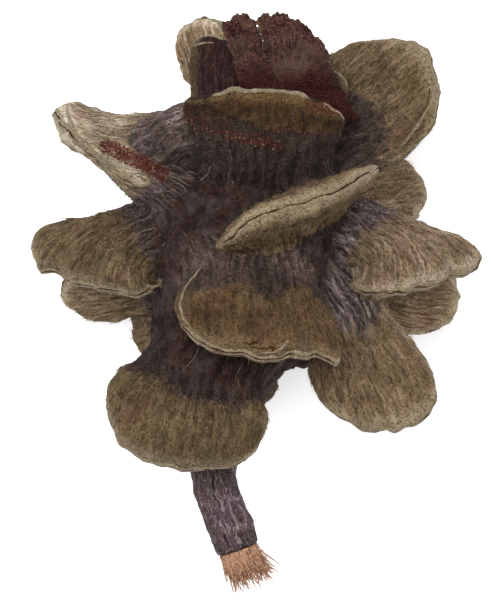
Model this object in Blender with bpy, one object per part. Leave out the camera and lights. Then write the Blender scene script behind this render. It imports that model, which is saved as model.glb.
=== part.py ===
"""Rose-fruited banksia cone, as picked: a woody axis crowded with wide flat follicles on a short stalk.

Run with blender --background --python part.py or in the text editor. Lengths in the tables are millimetres.
The cone lies on its back: +Z is up, +Y runs from the torn stalk to the tip, and the lowest point is at z = 0.
"""

import math
import random

import bmesh
import bpy
from mathutils import Vector

MM = 0.001

# Colours of the plain solids
FELTED_WOOD = (0.15, 0.12, 0.08)
SEPARATOR_RED = (0.09, 0.035, 0.035)
BARE_WOOD = (0.48, 0.27, 0.14)

# The woody axis: where its centre line runs, and its radius at shares of its length
AXIS_FOOT = Vector((-6.0, -23.0, 34.0))
AXIS_TOP = Vector((1.0, 31.0, 35.0))
AXIS_RADII = ((0.0, 4.0), (0.08, 5.2), (0.2, 8.0), (0.36, 13.4), (0.55, 16.0), (0.75, 15.0), (0.9, 11.0),
              (1.0, 5.0))
AXIS_SIDES = 28

# The web of wood between the open follicle and the one on its left
WEB_LINE = ((-7.5, 29.2, 48.0), (-12.0, 27.4, 47.0), (-16.0, 25.4, 43.0), (-20.0, 23.6, 40.0))
WEB_RADII = (4.4, 4.4, 4.4, 4.4)
WEB_SIDES = 14

# The stalk's centre line, its radius at both ends, and the torn wood beyond its bark
STALK_LINE = ((-4.5, -16.0, 34.0), (-7.0, -25.0, 33.5), (-6.9, -29.8, 33.1), (-5.1, -34.4, 32.7),
              (-3.0, -40.2, 32.2))
STALK_RADII = (4.8, 3.9, 3.62, 3.67, 3.7)
STALK_SIDES = 18
STALK_RIDGE = 0.28
TORN_LENGTH = 3.45
TORN_RADIUS = 3.2
FIBRE_COUNT = 46
FIBRE_REACH = (0.5, 3.1)
FIBRE_THICK = 0.34
CLEARANCE = 0.3

# How a follicle is lofted: shares of its length where rings stand, points in a ring, and its own surface
RING_SHARES = (0.0, 0.22, 0.38, 0.52, 0.64, 0.75, 0.85, 0.925, 0.97, 0.99, 1.0)
RING_POINTS = 24
NECK_RIDGE = 0.35
SUTURE_DEPTH = 0.55
LIP_START = 0.88

# Flat spots on the three back follicles that the cone rests on
FLOOR_CUT = 0.0

# Every follicle and valve. root and tip end its middle line, elbow bends it, across is the way its mouth runs.
# flange and neck are widths, lip the thickness at the mouth, rim how far the mouth's two ends lie back.
# flare says where along it the neck widens into the flange, and growth how much the root thickens.
# outline pushes the rim out and curl lifts it, at seven even places from the mouth's one end to the other.
DEFAULT = dict(elbow=None, flange=26.0, neck=18.0, body=11.0, lip=5.0, rim=11.0, flare=(0.42, 0.86),
               growth=1.28, outline=(0,) * 7, curl=(0,) * 7)
FOLLICLES = {
    "front_upper": dict(root=(2, 11, 34), tip=(8.7, 16.6, 67.5), across=(0.9, 0.42, -0.1), flange=29,
                        neck=20, body=8.6, lip=4, rim=9, curl=(0, 1.3, 0.8, 0, -0.3, 0.2, 0.8)),
    "front_lower": dict(root=(-2, 9, 36), elbow=(-1, 3, 52), tip=(0.9, -8.8, 61),
                        across=(0.97, -0.2, 0.05), flange=26, neck=21, body=15, lip=5.4, rim=11,
                        outline=(1, 0, -1, 0, 1, 3, 9), curl=(1.2, 0, 0.5, 0, 0.8, 0, 0)),
    "low_left": dict(root=(-4.4, 0, 38), elbow=(-10.8, -14, 44), tip=(-13.7, -26.6, 46.5),
                     across=(0.98, -0.12, 0.05), flange=26.6, neck=19, body=11, lip=6, rim=12,
                     flare=(0.39, 0.79), outline=(1, 0.6, 0.5, 0.1, 0.1, 0.7, 2.6)),
    "low_right": dict(root=(4, 9, 36), elbow=(16.5, 2, 39), tip=(20.3, -20.6, 41),
                      across=(0.95, -0.12, 0.3), flange=20.8, neck=14, body=10, lip=5, rim=8,
                      outline=(-2.4, -1.4, -0.5, 0.2, 1, 2, 3), flare=(0.6, 0.97)),
    "right": dict(root=(0, 13, 34), elbow=(21.5, 12.6, 36), tip=(27.75, 3, 42),
                  across=(0.95, 0.03, -0.3), flange=24.6, neck=14.5, rim=5,
                  outline=(0.6, 0.2, 0, 0, 0.2, 1.7, 1.6), flare=(0.65, 1)),
    "left": dict(root=(-2, 12, 34), elbow=(-24, 11, 36), tip=(-28.7, 3.3, 39), across=(0.9, -0.2, 0.38),
                 flange=24.4, neck=14.5, rim=6, flare=(0.5, 0.97),
                 outline=(1.2, 1.8, 0.5, -0.3, 0, 0, 0.4)),
    "upper_left": dict(root=(-1, 19, 35), elbow=(-18.2, 22.8, 38), tip=(-32.4, 30.8, 39),
                       across=(0.2, -0.42, 0.88), flange=17.5, neck=18, body=15, lip=4.6, growth=1.42,
                       rim=9, outline=(0.2, 0.2, 0.5, 0.5, 0, -0.2, 0.4)),
    "upper_right": dict(root=(1, 18, 35), elbow=(12.5, 27, 37), tip=(26.4, 40.7, 37),
                        across=(0.64, -0.62, 0.45), flange=23.4, neck=18, body=12, lip=6.4, rim=9.5,
                        outline=(-3.7, -2.2, 0.5, 1.6, 0.7, -0.3, 0.2)),
    "back_right_upper": dict(root=(0, 15, 32), tip=(27.2, 20.2, 17), across=(-0.1, 0.8, -0.6),
                             flange=16.6, neck=14, body=9, rim=9),
    "back_right_lower": dict(root=(0, 4, 32), tip=(33.3, 2.4, 19.5), across=(0.2, 0.75, -0.6),
                             flange=18.2, neck=12, body=9, rim=9),
    "back_left": dict(root=(-3, 6, 32), tip=(-31.4, 0.8, 20), across=(0.1, 0.55, 0.8), flange=13.8,
                      neck=10, body=8, rim=6, growth=1.6),
    "top_back": dict(root=(0, 22, 32), tip=(-10.2, 46.3, 25), across=(0.75, 0.1, 0.62), flange=12.6,
                     neck=8, body=8, rim=7, flare=(0.62, 0.96), outline=(0, 1, 0.9, 0.2, 0, 0, 0)),
    "rest_upper_left": dict(root=(-2, 20, 32), tip=(-17, 24, -0.7), across=(0.5, 0.85, 0), flange=24,
                            neck=17),
    "rest_right": dict(root=(1, 14, 32), tip=(19, 14, -0.7), across=(-0.35, 0.9, 0.1), flange=25,
                       neck=17),
    "rest_low": dict(root=(-4, -6, 32), tip=(-9.6, -18.5, -0.7), across=(0.95, 0.1, 0), flange=23,
                     neck=17),
    "back_middle": dict(root=(-1, 4, 32), tip=(-1, 3, 3), across=(0.85, -0.5, 0), flange=24, neck=17),
    "back_top": dict(root=(1, 24, 32), tip=(5, 39, 11), across=(0.95, -0.1, 0.2), flange=24, neck=17),
    "back_low_left": dict(root=(-4, -3, 33), tip=(-19.2, -0.6, 12), across=(0.5, 0.8, 0.3), flange=18,
                          neck=16, rim=9),
    "back_low_right": dict(root=(-2, -3, 33), tip=(19, -4, 12), across=(-0.4, 0.75, -0.5), flange=19,
                           neck=15, rim=9),
    "valve_front": dict(root=(0, 18, 36), elbow=(0.8, 27, 50), tip=(1.5, 33.4, 61),
                        across=(0.99, -0.09, 0.05), flange=26, neck=23, body=12, lip=2.8, rim=4,
                        outline=(0.5, 0.3, 0, 0, -0.2, 0.2, 0.6),
                        curl=(-1.2, -1.1, 0.6, 0.8, 1.3, 0.3, -1)),
    "valve_back": dict(root=(0, 18, 34), elbow=(1, 32, 41), tip=(2.2, 41.3, 46),
                       across=(0.95, -0.22, 0.1), flange=26.8, neck=23, body=11, lip=2.6, rim=5,
                       outline=(1.5, 1.5, 0, 0, 0, 0, 0), curl=(2, 1, 0, -0.6, 0, 1, 2)),
}

# The seed separator that stands up between the open valves, as a fan: its foot, the middle of its top, how
# far its left and right edges lie from that line on the way up, its thickness, and how far its shoulders drop
SEPARATOR_FOOT = Vector((4.0, 29.5, 48.5))
SEPARATOR_TOP = Vector((2.95, 46.68, 53.5))
SEPARATOR_LEFT = (-6.2, -6.3, -6.6, -7.6, -8.6)
SEPARATOR_RIGHT = (12.4, 10.8, 9.0, 8.2, 7.6)
SEPARATOR_THICK = 0.8
SEPARATOR_COLUMNS = 22
SEPARATOR_ROWS = 8
SEPARATOR_BOW = 1.2
SEPARATOR_RAG = 0.8
LEFT_SHOULDER = 0.9
RIGHT_SHOULDER = 5.0
CRACK_COLUMN = 7
CRACK_ROWS = 3


def clear_scene():
    for obj in list(bpy.data.objects):
        bpy.data.objects.remove(obj, do_unlink=True)


def plain_material(name, colour, roughness):
    material = bpy.data.materials.new(name)
    material.use_nodes = True
    surface = material.node_tree.nodes["Principled BSDF"]
    surface.inputs["Base Color"].default_value = (*colour, 1.0)
    surface.inputs["Roughness"].default_value = roughness
    surface.inputs["Metallic"].default_value = 0.0
    return material


def object_from(bm, name, collection):
    """A closed bmesh in millimetres as a named object in metres, its faces pointing out."""
    bmesh.ops.remove_doubles(bm, verts=bm.verts, dist=0.01)
    bmesh.ops.recalc_face_normals(bm, faces=bm.faces)
    bmesh.ops.scale(bm, vec=(MM, MM, MM), verts=bm.verts)
    mesh = bpy.data.meshes.new(name)
    bm.to_mesh(mesh)
    bm.free()
    obj = bpy.data.objects.new(name, mesh)
    collection.objects.link(obj)
    return obj


def smoothstep(low, high, x):
    t = min(1.0, max(0.0, (x - low) / (high - low)))
    return t * t * (3.0 - 2.0 * t)


def along_values(values, share):
    """Reads a row of evenly spaced values at a share of its length, eased from one to the next."""
    place = min(max(share, 0.0), 1.0) * (len(values) - 1)
    index = min(int(place), len(values) - 2)
    ease = smoothstep(0.0, 1.0, place - index)
    return values[index] * (1.0 - ease) + values[index + 1] * ease


def bezier(a, b, c, t):
    """A point on the bent line from a to c that leans towards b, and the way the line runs there."""
    point = a * (1 - t) ** 2 + b * 2 * t * (1 - t) + c * t * t
    way = (b - a) * (1 - t) + (c - b) * t
    return point, way.normalized()


def bridge_rings(bm, rings):
    """Joins rings of points, one after the other, and fills the two end rings."""
    loops = [[bm.verts.new(point) for point in ring] for ring in rings]
    count = len(loops[0])
    for low, high in zip(loops, loops[1:]):
        for i in range(count):
            j = (i + 1) % count
            bm.faces.new((low[i], low[j], high[j], high[i]))
    bm.faces.new(list(reversed(loops[0])))
    return loops


def follicle_ring(spec, share, ridges):
    """The ring of points of one follicle at a share of its length, from its root in the axis to its mouth."""
    root, tip = Vector(spec["root"]), Vector(spec["tip"])
    elbow = Vector(spec["elbow"]) if spec["elbow"] else (root + tip) / 2
    centre, way = bezier(root, elbow, tip, share)
    across = Vector(spec["across"])
    across = (across - way * across.dot(way)).normalized()
    lift = way.cross(across)
    flare = smoothstep(*spec["flare"], share)
    root_share = 1.0 - smoothstep(0.0, 0.42, share)
    growth = 1.0 + (spec["growth"] - 1.0) * root_share
    half_width = (spec["neck"] * (1 - flare) + spec["flange"] * flare) / 2 * growth
    half_thick = (spec["body"] * (1 - flare) + spec["lip"] * 1.25 * flare) / 2 * growth
    past_lip = max(0.0, (share - LIP_START) / (1.0 - LIP_START))
    half_thick *= math.sqrt(max(0.0, 1.0 - past_lip ** 2))
    ring = []
    for i in range(RING_POINTS):
        angle = 2 * math.pi * i / RING_POINTS
        side, up = math.cos(angle), math.sin(angle)
        place = (side + 1) / 2
        ridge = ridges[i] * NECK_RIDGE * (1.0 - flare) * smoothstep(0.1, 0.4, share)
        back = spec["rim"] * share ** 2 * (1.0 - abs(up))
        push = along_values(spec["outline"], place) * share ** 3
        suture = SUTURE_DEPTH * smoothstep(0.0, 0.6, abs(up)) if share == 1.0 else 0.0
        raise_by = along_values(spec["curl"], place) * share ** 3
        point = centre + way * (push - back - suture)
        point += across * side * (half_width + ridge)
        thick = half_thick + ridge * (share < LIP_START)
        point += lift * (math.copysign(abs(up) ** 0.85, up) * thick + raise_by)
        ring.append(point)
    return ring


def follicle(name, spec, collection):
    """One closed follicle: a stout neck that opens into a wide flat flange with a suture round its rim."""
    spec = {**DEFAULT, **spec}
    dice = random.Random(name)
    ridges = [dice.uniform(-1, 1) for _ in range(RING_POINTS)]
    bm = bmesh.new()
    bridge_rings(bm, [follicle_ring(spec, share, ridges) for share in RING_SHARES])
    return object_from(bm, name, collection)


def tube(rings_of_centres, radii, sides, ridge_size, seed, name, collection):
    """A round length with long ridges, its two ends flat."""
    dice = random.Random(seed)
    ridges = [dice.uniform(-1, 1) * ridge_size for _ in range(sides)]
    centres = [Vector(c) for c in rings_of_centres]
    rings = []
    for k, centre in enumerate(centres):
        ahead = (centres[min(k + 1, len(centres) - 1)] - centres[max(k - 1, 0)]).normalized()
        right = ahead.orthogonal() if k == 0 else (right - ahead * right.dot(ahead))
        right.normalize()
        other = ahead.cross(right)
        ring = []
        for i in range(sides):
            angle = 2 * math.pi * i / sides
            radius = radii[k] + ridges[i]
            ring.append(centre + (right * math.cos(angle) + other * math.sin(angle)) * radius)
        rings.append(ring)
    bm = bmesh.new()
    loops = bridge_rings(bm, rings)
    bm.faces.new(loops[-1])
    return object_from(bm, name, collection)


def woody_axis(collection):
    """The core that all follicles grow from, turned about a line that leans a little."""
    centres = [AXIS_FOOT.lerp(AXIS_TOP, share) for share, _ in AXIS_RADII]
    radii = [radius for _, radius in AXIS_RADII]
    return tube(centres, radii, AXIS_SIDES, 0.5, "axis", "cone", collection)


def floor_cutter(collection):
    """A block under the floor, which planes small flat spots on the three resting follicles."""
    bm = bmesh.new()
    bmesh.ops.create_cube(bm, size=1.0)
    bmesh.ops.scale(bm, vec=(120, 120, 20), verts=bm.verts)
    bmesh.ops.translate(bm, vec=(0, 0, FLOOR_CUT - 10), verts=bm.verts)
    cutter = object_from(bm, "floor_cutter", collection)
    cutter.hide_render = True
    cutter.display_type = "WIRE"
    return cutter


def drop_flakes(mesh):
    """Deletes the loose flakes, far under a cubic millimetre, that a union leaves where two surfaces graze."""
    bm = bmesh.new()
    bm.from_mesh(mesh)
    unseen = set(bm.faces)
    islands = []
    while unseen:
        front = [unseen.pop()]
        island = []
        while front:
            face = front.pop()
            island.append(face)
            for edge in face.edges:
                if len(edge.link_faces) != 2:
                    continue
                for other in edge.link_faces:
                    if other in unseen:
                        unseen.remove(other)
                        front.append(other)
        islands.append(island)
    islands.sort(key=len)
    bmesh.ops.delete(bm, geom=[face for island in islands[:-1] for face in island], context="FACES")
    bm.to_mesh(mesh)
    bm.free()


def separator_seat(collection):
    """The slot between the open valves that the separator stands in, with clearance all round."""
    cutter = separator_sheet("separator_seat", collection, CLEARANCE, False)
    cutter.hide_render = True
    cutter.display_type = "WIRE"
    return cutter


def apply_boolean(obj, operation, other=None, collection=None):
    """Joins or cuts, and keeps the result. MANIFOLD, as EXACT leaves open edges where so many necks cross."""
    cut = obj.modifiers.new(operation.lower(), "BOOLEAN")
    cut.operation = operation
    cut.solver = "MANIFOLD"
    if other:
        cut.object = other
    else:
        cut.operand_type = "COLLECTION"
        cut.collection = collection
    bpy.context.view_layer.update()
    evaluated = obj.evaluated_get(bpy.context.evaluated_depsgraph_get())
    mesh = bpy.data.meshes.new_from_object(evaluated)
    obj.modifiers.clear()
    drop_flakes(mesh)
    obj.data = mesh
    mesh.name = obj.name


def remove_collection(collection):
    for obj in list(collection.objects):
        bpy.data.objects.remove(obj, do_unlink=True)
    bpy.data.collections.remove(collection)


def cone(scene_collection):
    """Axis, follicles, the open follicle's two valves and the barked stalk, grown as one piece."""
    body = woody_axis(scene_collection)
    grown = bpy.data.collections.new("grown")
    scene_collection.children.link(grown)
    for name, spec in FOLLICLES.items():
        follicle(name, spec, grown)
    tube(WEB_LINE, WEB_RADII, WEB_SIDES, 0.2, "web", "web", grown)
    tube(STALK_LINE, STALK_RADII, STALK_SIDES, STALK_RIDGE, "stalk", "stalk", grown)
    apply_boolean(body, "UNION", collection=grown)
    remove_collection(grown)
    for cutter in (floor_cutter(scene_collection), separator_seat(scene_collection)):
        apply_boolean(body, "DIFFERENCE", other=cutter)
        bpy.data.objects.remove(cutter, do_unlink=True)
    return body


def torn_wood(collection):
    """The bare wood that stands out of the stalk's bark, with its torn fibres."""
    end, before = Vector(STALK_LINE[-1]), Vector(STALK_LINE[-2])
    ahead = (end - before).normalized()
    start = end + ahead * CLEARANCE
    right = ahead.orthogonal().normalized()
    other = ahead.cross(right)
    dice = random.Random("fibres")
    plug = tube((start, start + ahead * TORN_LENGTH * 0.5, start + ahead * TORN_LENGTH),
                (TORN_RADIUS, TORN_RADIUS * 0.97, TORN_RADIUS * 0.72), 12, 0.22, "plug", "torn_wood", collection)
    fibres = bpy.data.collections.new("fibres")
    collection.children.link(fibres)
    for k in range(FIBRE_COUNT):
        share = (k + 0.5) / FIBRE_COUNT
        turn = k * math.pi * (3 - math.sqrt(5))
        radius = TORN_RADIUS * 0.92 * math.sqrt(share)
        out = right * math.cos(turn) + other * math.sin(turn)
        foot = start + ahead * TORN_LENGTH * dice.uniform(0.25, 0.5) + out * radius
        reach = TORN_LENGTH * 0.5 + dice.uniform(*FIBRE_REACH)
        tip = foot + ahead * reach + out * dice.uniform(-0.2, 1.0) + Vector((0, 0, dice.uniform(-0.4, 0.4)))
        middle = foot.lerp(tip, 0.55) + out * dice.uniform(-0.3, 0.3)
        radii = (FIBRE_THICK, FIBRE_THICK * 0.9, FIBRE_THICK * 0.35)
        tube((foot, middle, tip), radii, 3, 0, k, f"fibre_{k}", fibres)
    apply_boolean(plug, "UNION", collection=fibres)
    remove_collection(fibres)
    return plug


def separator_sheet(name, collection, grow, cracked):
    """The separator as a sheet with its own thickness: a fan with a ragged top edge. grow adds all round."""
    dice = random.Random("separator")
    rise = SEPARATOR_TOP - SEPARATOR_FOOT
    up = rise.normalized()
    across = Vector((1.0, -0.05, 0.05))
    across = (across - up * across.dot(up)).normalized()
    front = across.cross(rise).normalized()
    grid = []
    for i in range(SEPARATOR_COLUMNS + 1):
        place = i / SEPARATOR_COLUMNS
        side = 2 * place - 1
        rag = dice.uniform(-SEPARATOR_RAG, SEPARATOR_RAG) * 0.5
        fall = RIGHT_SHOULDER * side ** 1.7 if side > 0 else LEFT_SHOULDER * abs(side) ** 3
        height = rise.length - fall + rag
        column = []
        for j in range(SEPARATOR_ROWS + 1):
            share = j / SEPARATOR_ROWS
            left = along_values(SEPARATOR_LEFT, share) - grow
            right = along_values(SEPARATOR_RIGHT, share) + grow
            bow = SEPARATOR_BOW * (side ** 2 - 0.4) * share + 0.25 * math.sin(9 * side + 3 * share)
            point = SEPARATOR_FOOT + across * (left * (1 - place) + right * place)
            point += up * (height * share + grow * (2 * share - 1))
            column.append(point + front * bow)
        grid.append(column)
    bm = bmesh.new()
    for i in range(SEPARATOR_COLUMNS):
        for j in range(SEPARATOR_ROWS):
            if cracked and i == CRACK_COLUMN and j >= SEPARATOR_ROWS - CRACK_ROWS:
                continue
            corners = (grid[i][j], grid[i + 1][j], grid[i + 1][j + 1], grid[i][j + 1])
            bm.faces.new([bm.verts.new(corner) for corner in corners])
    plate = object_from(bm, name, collection)
    thick = plate.modifiers.new("thick", "SOLIDIFY")
    thick.thickness = (SEPARATOR_THICK + 2 * grow) * MM
    thick.offset = 0.0
    return plate


def main():
    clear_scene()
    collection = bpy.context.scene.collection
    felted = plain_material("felted_wood", FELTED_WOOD, 0.85)
    red = plain_material("separator", SEPARATOR_RED, 0.6)
    bare = plain_material("bare_wood", BARE_WOOD, 0.8)
    separator = separator_sheet("seed_separator", collection, 0, True)
    for obj, material in ((cone(collection), felted), (torn_wood(collection), bare), (separator, red)):
        obj.data.materials.clear()
        obj.data.materials.append(material)


main()
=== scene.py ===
# Rose-fruited banksia cone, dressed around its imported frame: felted follicles with pale lips, seed separator
# and torn stalk. The cone lies on its back, +Z towards the camera and +Y from the stalk to the tip.
# Lengths in the tables are millimetres.
import math

import bmesh
import bpy
import numpy as np
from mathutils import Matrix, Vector, noise
from mathutils.bvhtree import BVHTree


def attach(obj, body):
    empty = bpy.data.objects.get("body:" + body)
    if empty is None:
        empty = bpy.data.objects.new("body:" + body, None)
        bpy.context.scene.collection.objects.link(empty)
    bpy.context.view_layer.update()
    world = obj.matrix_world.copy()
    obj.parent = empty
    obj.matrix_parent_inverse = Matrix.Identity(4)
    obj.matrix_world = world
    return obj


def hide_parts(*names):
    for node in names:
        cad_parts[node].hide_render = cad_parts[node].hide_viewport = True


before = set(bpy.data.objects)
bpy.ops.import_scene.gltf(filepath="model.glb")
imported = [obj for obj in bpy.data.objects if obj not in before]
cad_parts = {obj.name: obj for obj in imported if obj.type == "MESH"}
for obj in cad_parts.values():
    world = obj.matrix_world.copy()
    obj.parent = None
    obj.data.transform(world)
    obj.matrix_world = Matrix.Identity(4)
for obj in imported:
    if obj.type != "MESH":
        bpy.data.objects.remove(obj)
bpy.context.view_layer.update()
mm = 0.001
scene = bpy.context.scene
fullTurn = 6.28
flowGap = 7.31      # sets the grain of one follicle apart from the next


# Camera, floor and light

studio = {
    "eye": (-0.00171, 0.00057, 1.236),
    "focal": 441.0,
    "sensor": 36.0,
    "farthest": 10.0,
    "aim": (0, 0, 0.03),
    "floorSize": 3.0,
    "floorColour": (0.93, 0.93, 0.93),
    "floorGlow": 0.45,  # the photograph's floor is a lit panel
    "skyStrength": 0.42,
    "lamps": {  # place, width and power of each softbox
        "above": ((-0.07, 0.16, 1.00), 0.35, 7.6),
        "left": ((-0.70, 0.15, 0.60), 0.4, 2.8),
        "right": ((0.70, 0.15, 0.60), 0.4, 2.3),
    },
}


def placed(name, data):
    made = bpy.data.objects.new(name, data)
    scene.collection.objects.link(made)
    return made


def buildStudio():
    camera = placed("camera", bpy.data.cameras.new("camera"))
    camera.data.sensor_width = studio["sensor"]
    camera.data.lens = studio["focal"]
    camera.data.clip_end = studio["farthest"]
    camera.location = studio["eye"]
    scene.camera = camera
    for name, (place, width, power) in studio["lamps"].items():
        lamp = placed(name, bpy.data.lights.new(name, "AREA"))
        lamp.data.size = width
        lamp.data.energy = power
        lamp.location = place
        lamp.rotation_euler = (Vector(studio["aim"]) - Vector(place)).to_track_quat("-Z", "Y").to_euler()
    world = bpy.data.worlds.new("softSky")
    world.use_nodes = True
    sky = world.node_tree.nodes["Background"].inputs
    sky["Color"].default_value = (1, 1, 1, 1)
    sky["Strength"].default_value = studio["skyStrength"]
    scene.world = world
    scene.view_settings.view_transform = "Standard"
    bpy.ops.mesh.primitive_plane_add(size=studio["floorSize"], location=(0, 0, 0))
    floor = bpy.context.object
    floor.name = "floor"
    floor.data.materials.append(floorMaterial())
    print("studio ready")


# Helpers for node trees

def put(tree, socket, value):
    # links an output, or sets a plain value
    if isinstance(value, bpy.types.NodeSocket):
        tree.links.new(value, socket)
    else:
        socket.default_value = value


def add(tree, kind, inputs=(), **settings):
    # a node with its settings made, and its inputs filled by place or by name
    node = tree.nodes.new(kind)
    for key, value in settings.items():
        setattr(node, key, value)
    pairs = inputs.items() if isinstance(inputs, dict) else enumerate(inputs)
    for key, value in pairs:
        if value is not None:
            put(tree, node.inputs[key], value)
    return node


def maths(tree, operation, a, b=0.0):
    return add(tree, "ShaderNodeMath", (a, b), operation=operation).outputs[0]


def times(tree, a, b):
    return maths(tree, "MULTIPLY", a, b)


def vectorMaths(tree, operation, a, b):
    return add(tree, "ShaderNodeVectorMath", (a, b), operation=operation).outputs[0]


def span(tree, value, low, high, toLow=0.0, toHigh=1.0):
    return add(tree, "ShaderNodeMapRange", (value, low, high, toLow, toHigh)).outputs[0]


def tint(red, green, blue):
    # a screen colour as the linear colour that a shader takes
    shares = [c / 255 for c in (red, green, blue)]
    return tuple(c / 12.92 if c < 0.0432 else ((c + 0.055) / 1.055) ** 2.4 for c in shares) + (1,)


def blendColour(tree, factor, first, second):
    # between two colours, each an output or the red, green and blue of a screen colour
    first, second = (tint(*end) if isinstance(end, tuple) else end for end in (first, second))
    return add(tree, "ShaderNodeMix", {0: factor, 6: first, 7: second}, data_type="RGBA").outputs[2]


def layered(tree, colour, *layers):
    # a colour with others over it: the value that each follows, from where to where, its most and its colour
    for value, low, high, most, shade in layers:
        colour = blendColour(tree, span(tree, value, low, high, 0.0, most), colour, shade)
    return colour


def readFloat(tree, name):
    return add(tree, "ShaderNodeAttribute", attribute_name=name).outputs["Fac"]


def readVector(tree, name):
    return add(tree, "ShaderNodeAttribute", attribute_name=name).outputs["Vector"]


def grainNoise(tree, vector, scale, detail=3.0, rough=0.6):
    inputs = {"Vector": vector, "Scale": scale, "Detail": detail, "Roughness": rough}
    return add(tree, "ShaderNodeTexNoise", inputs).outputs["Fac"]


def stretched(tree, vector, scale):
    return add(tree, "ShaderNodeMapping", {"Vector": vector, "Scale": scale}).outputs[0]


def newMaterial(name, roughness, sheen=0.0, specular=0.3):
    material = bpy.data.materials.new(name)
    material.use_nodes = True
    surface = material.node_tree.nodes["Principled BSDF"].inputs
    surface["Roughness"].default_value = roughness
    surface["Sheen Weight"].default_value = sheen
    surface["Sheen Roughness"].default_value = 0.6
    surface["Specular IOR Level"].default_value = specular
    return material, material.node_tree


def coated(material, colour, height, strength, distance):
    # the material with its colour and its bump on the surface
    tree = material.node_tree
    surface = tree.nodes["Principled BSDF"].inputs
    put(tree, surface["Base Color"], colour)
    bump = add(tree, "ShaderNodeBump", {"Height": height, "Strength": strength, "Distance": distance})
    put(tree, surface["Normal"], bump.outputs[0])
    return material


def floorMaterial():
    material, tree = newMaterial("paleFloor", 0.8)
    surface = tree.nodes["Principled BSDF"].inputs
    surface["Base Color"].default_value = (*studio["floorColour"], 1)
    surface["Emission Color"].default_value = (1, 1, 1, 1)
    surface["Emission Strength"].default_value = studio["floorGlow"]
    return material


# Helpers for geometry nodes and meshes

def makeSockets(tree, inputs, outputs):
    # rows of name, kind and, where it has one, starting value
    for way, rows in (("INPUT", inputs), ("OUTPUT", outputs)):
        for name, kind, *value in rows:
            socket = tree.interface.new_socket(name, in_out=way, socket_type="NodeSocket" + kind)
            if value:
                socket.default_value = value[0]


def geometryTree(name, inputs):
    # a geometry tree with these inputs after its geometry, and the outputs of its start
    tree = bpy.data.node_groups.new(name, "GeometryNodeTree")
    makeSockets(tree, (("Geometry", "Geometry"), *inputs), (("Geometry", "Geometry"),))
    return tree, add(tree, "NodeGroupInput").outputs


def closed(tree, geometry):
    put(tree, add(tree, "NodeGroupOutput").inputs[0], geometry)
    return tree


def named(tree, name, kind):
    return add(tree, "GeometryNodeInputNamedAttribute", {"Name": name}, data_type=kind).outputs[0]


def stored(tree, geometry, name, value, kind, domain="POINT"):
    store = add(tree, "GeometryNodeStoreNamedAttribute", {"Geometry": geometry, "Name": name},
                data_type=kind, domain=domain)
    put(tree, store.inputs["Value"], value)
    return store.outputs[0]


def solid(tree, geometry, material):
    # the end of a tree: plain geometry with its material
    realised = add(tree, "GeometryNodeRealizeInstances", (geometry,)).outputs[0]
    made = add(tree, "GeometryNodeSetMaterial", {"Geometry": realised, "Material": material})
    return closed(tree, made.outputs[0])


def evaluatedMesh(obj):
    bpy.context.view_layer.update()
    return bpy.data.meshes.new_from_object(obj.evaluated_get(bpy.context.evaluated_depsgraph_get()))


def throughModifier(mesh, kind, tree=None, values=(), **settings):
    # the mesh as it comes out of one modifier; values are for the named inputs of a geometry tree
    holder = placed("holder", mesh)
    modifier = holder.modifiers.new("made", kind)
    for key, value in settings.items():
        setattr(modifier, key, value)
    if tree:
        modifier.node_group = tree
        for item in tree.interface.items_tree:
            if item.name in values:
                modifier[item.identifier] = values[item.name]
    result = evaluatedMesh(holder)
    bpy.data.objects.remove(holder)
    return result


def fetched(rows, key, width=1, kind=float):
    # one field of all rows of a mesh
    values = np.empty(len(rows) * width, kind)
    rows.foreach_get(key, values)
    return values.reshape(-1, width) if width > 1 else values


def pointsOf(mesh):
    return fetched(mesh.vertices, "co", 3) / mm


def setPoints(mesh, points):
    mesh.vertices.foreach_set("co", (points * mm).ravel())
    mesh.update()


def normalsOf(mesh):
    return fetched(mesh.vertex_normals, "vector", 3)


def noiseAt(points):
    return np.array([noise.noise(p) for p in points.tolist()])


def noiseRow(run, step, seed):
    return noiseAt(np.stack([run / step, np.full(len(run), seed * 3.7), np.full(len(run), 0.5)], axis=1))


def storeFloat(mesh, name, values):
    mesh.attributes.new(name, "FLOAT", "POINT").data.foreach_set("value", np.asarray(values, np.float32))


def floatsOf(mesh, name):
    return fetched(mesh.attributes[name].data, "value", 1, np.float32)


def storeVector(mesh, name, values, domain="POINT"):
    data = mesh.attributes.new(name, "FLOAT_VECTOR", domain).data
    data.foreach_set("vector", np.asarray(values, float).ravel())


def trianglesOf(mesh):
    return sum(len(face.vertices) - 2 for face in mesh.polygons)


# Shared shader groups

feltOutputs = ("Fibres", "Threads", "Grain", "Specks", "Mottle", "Patches", "Height")


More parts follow.
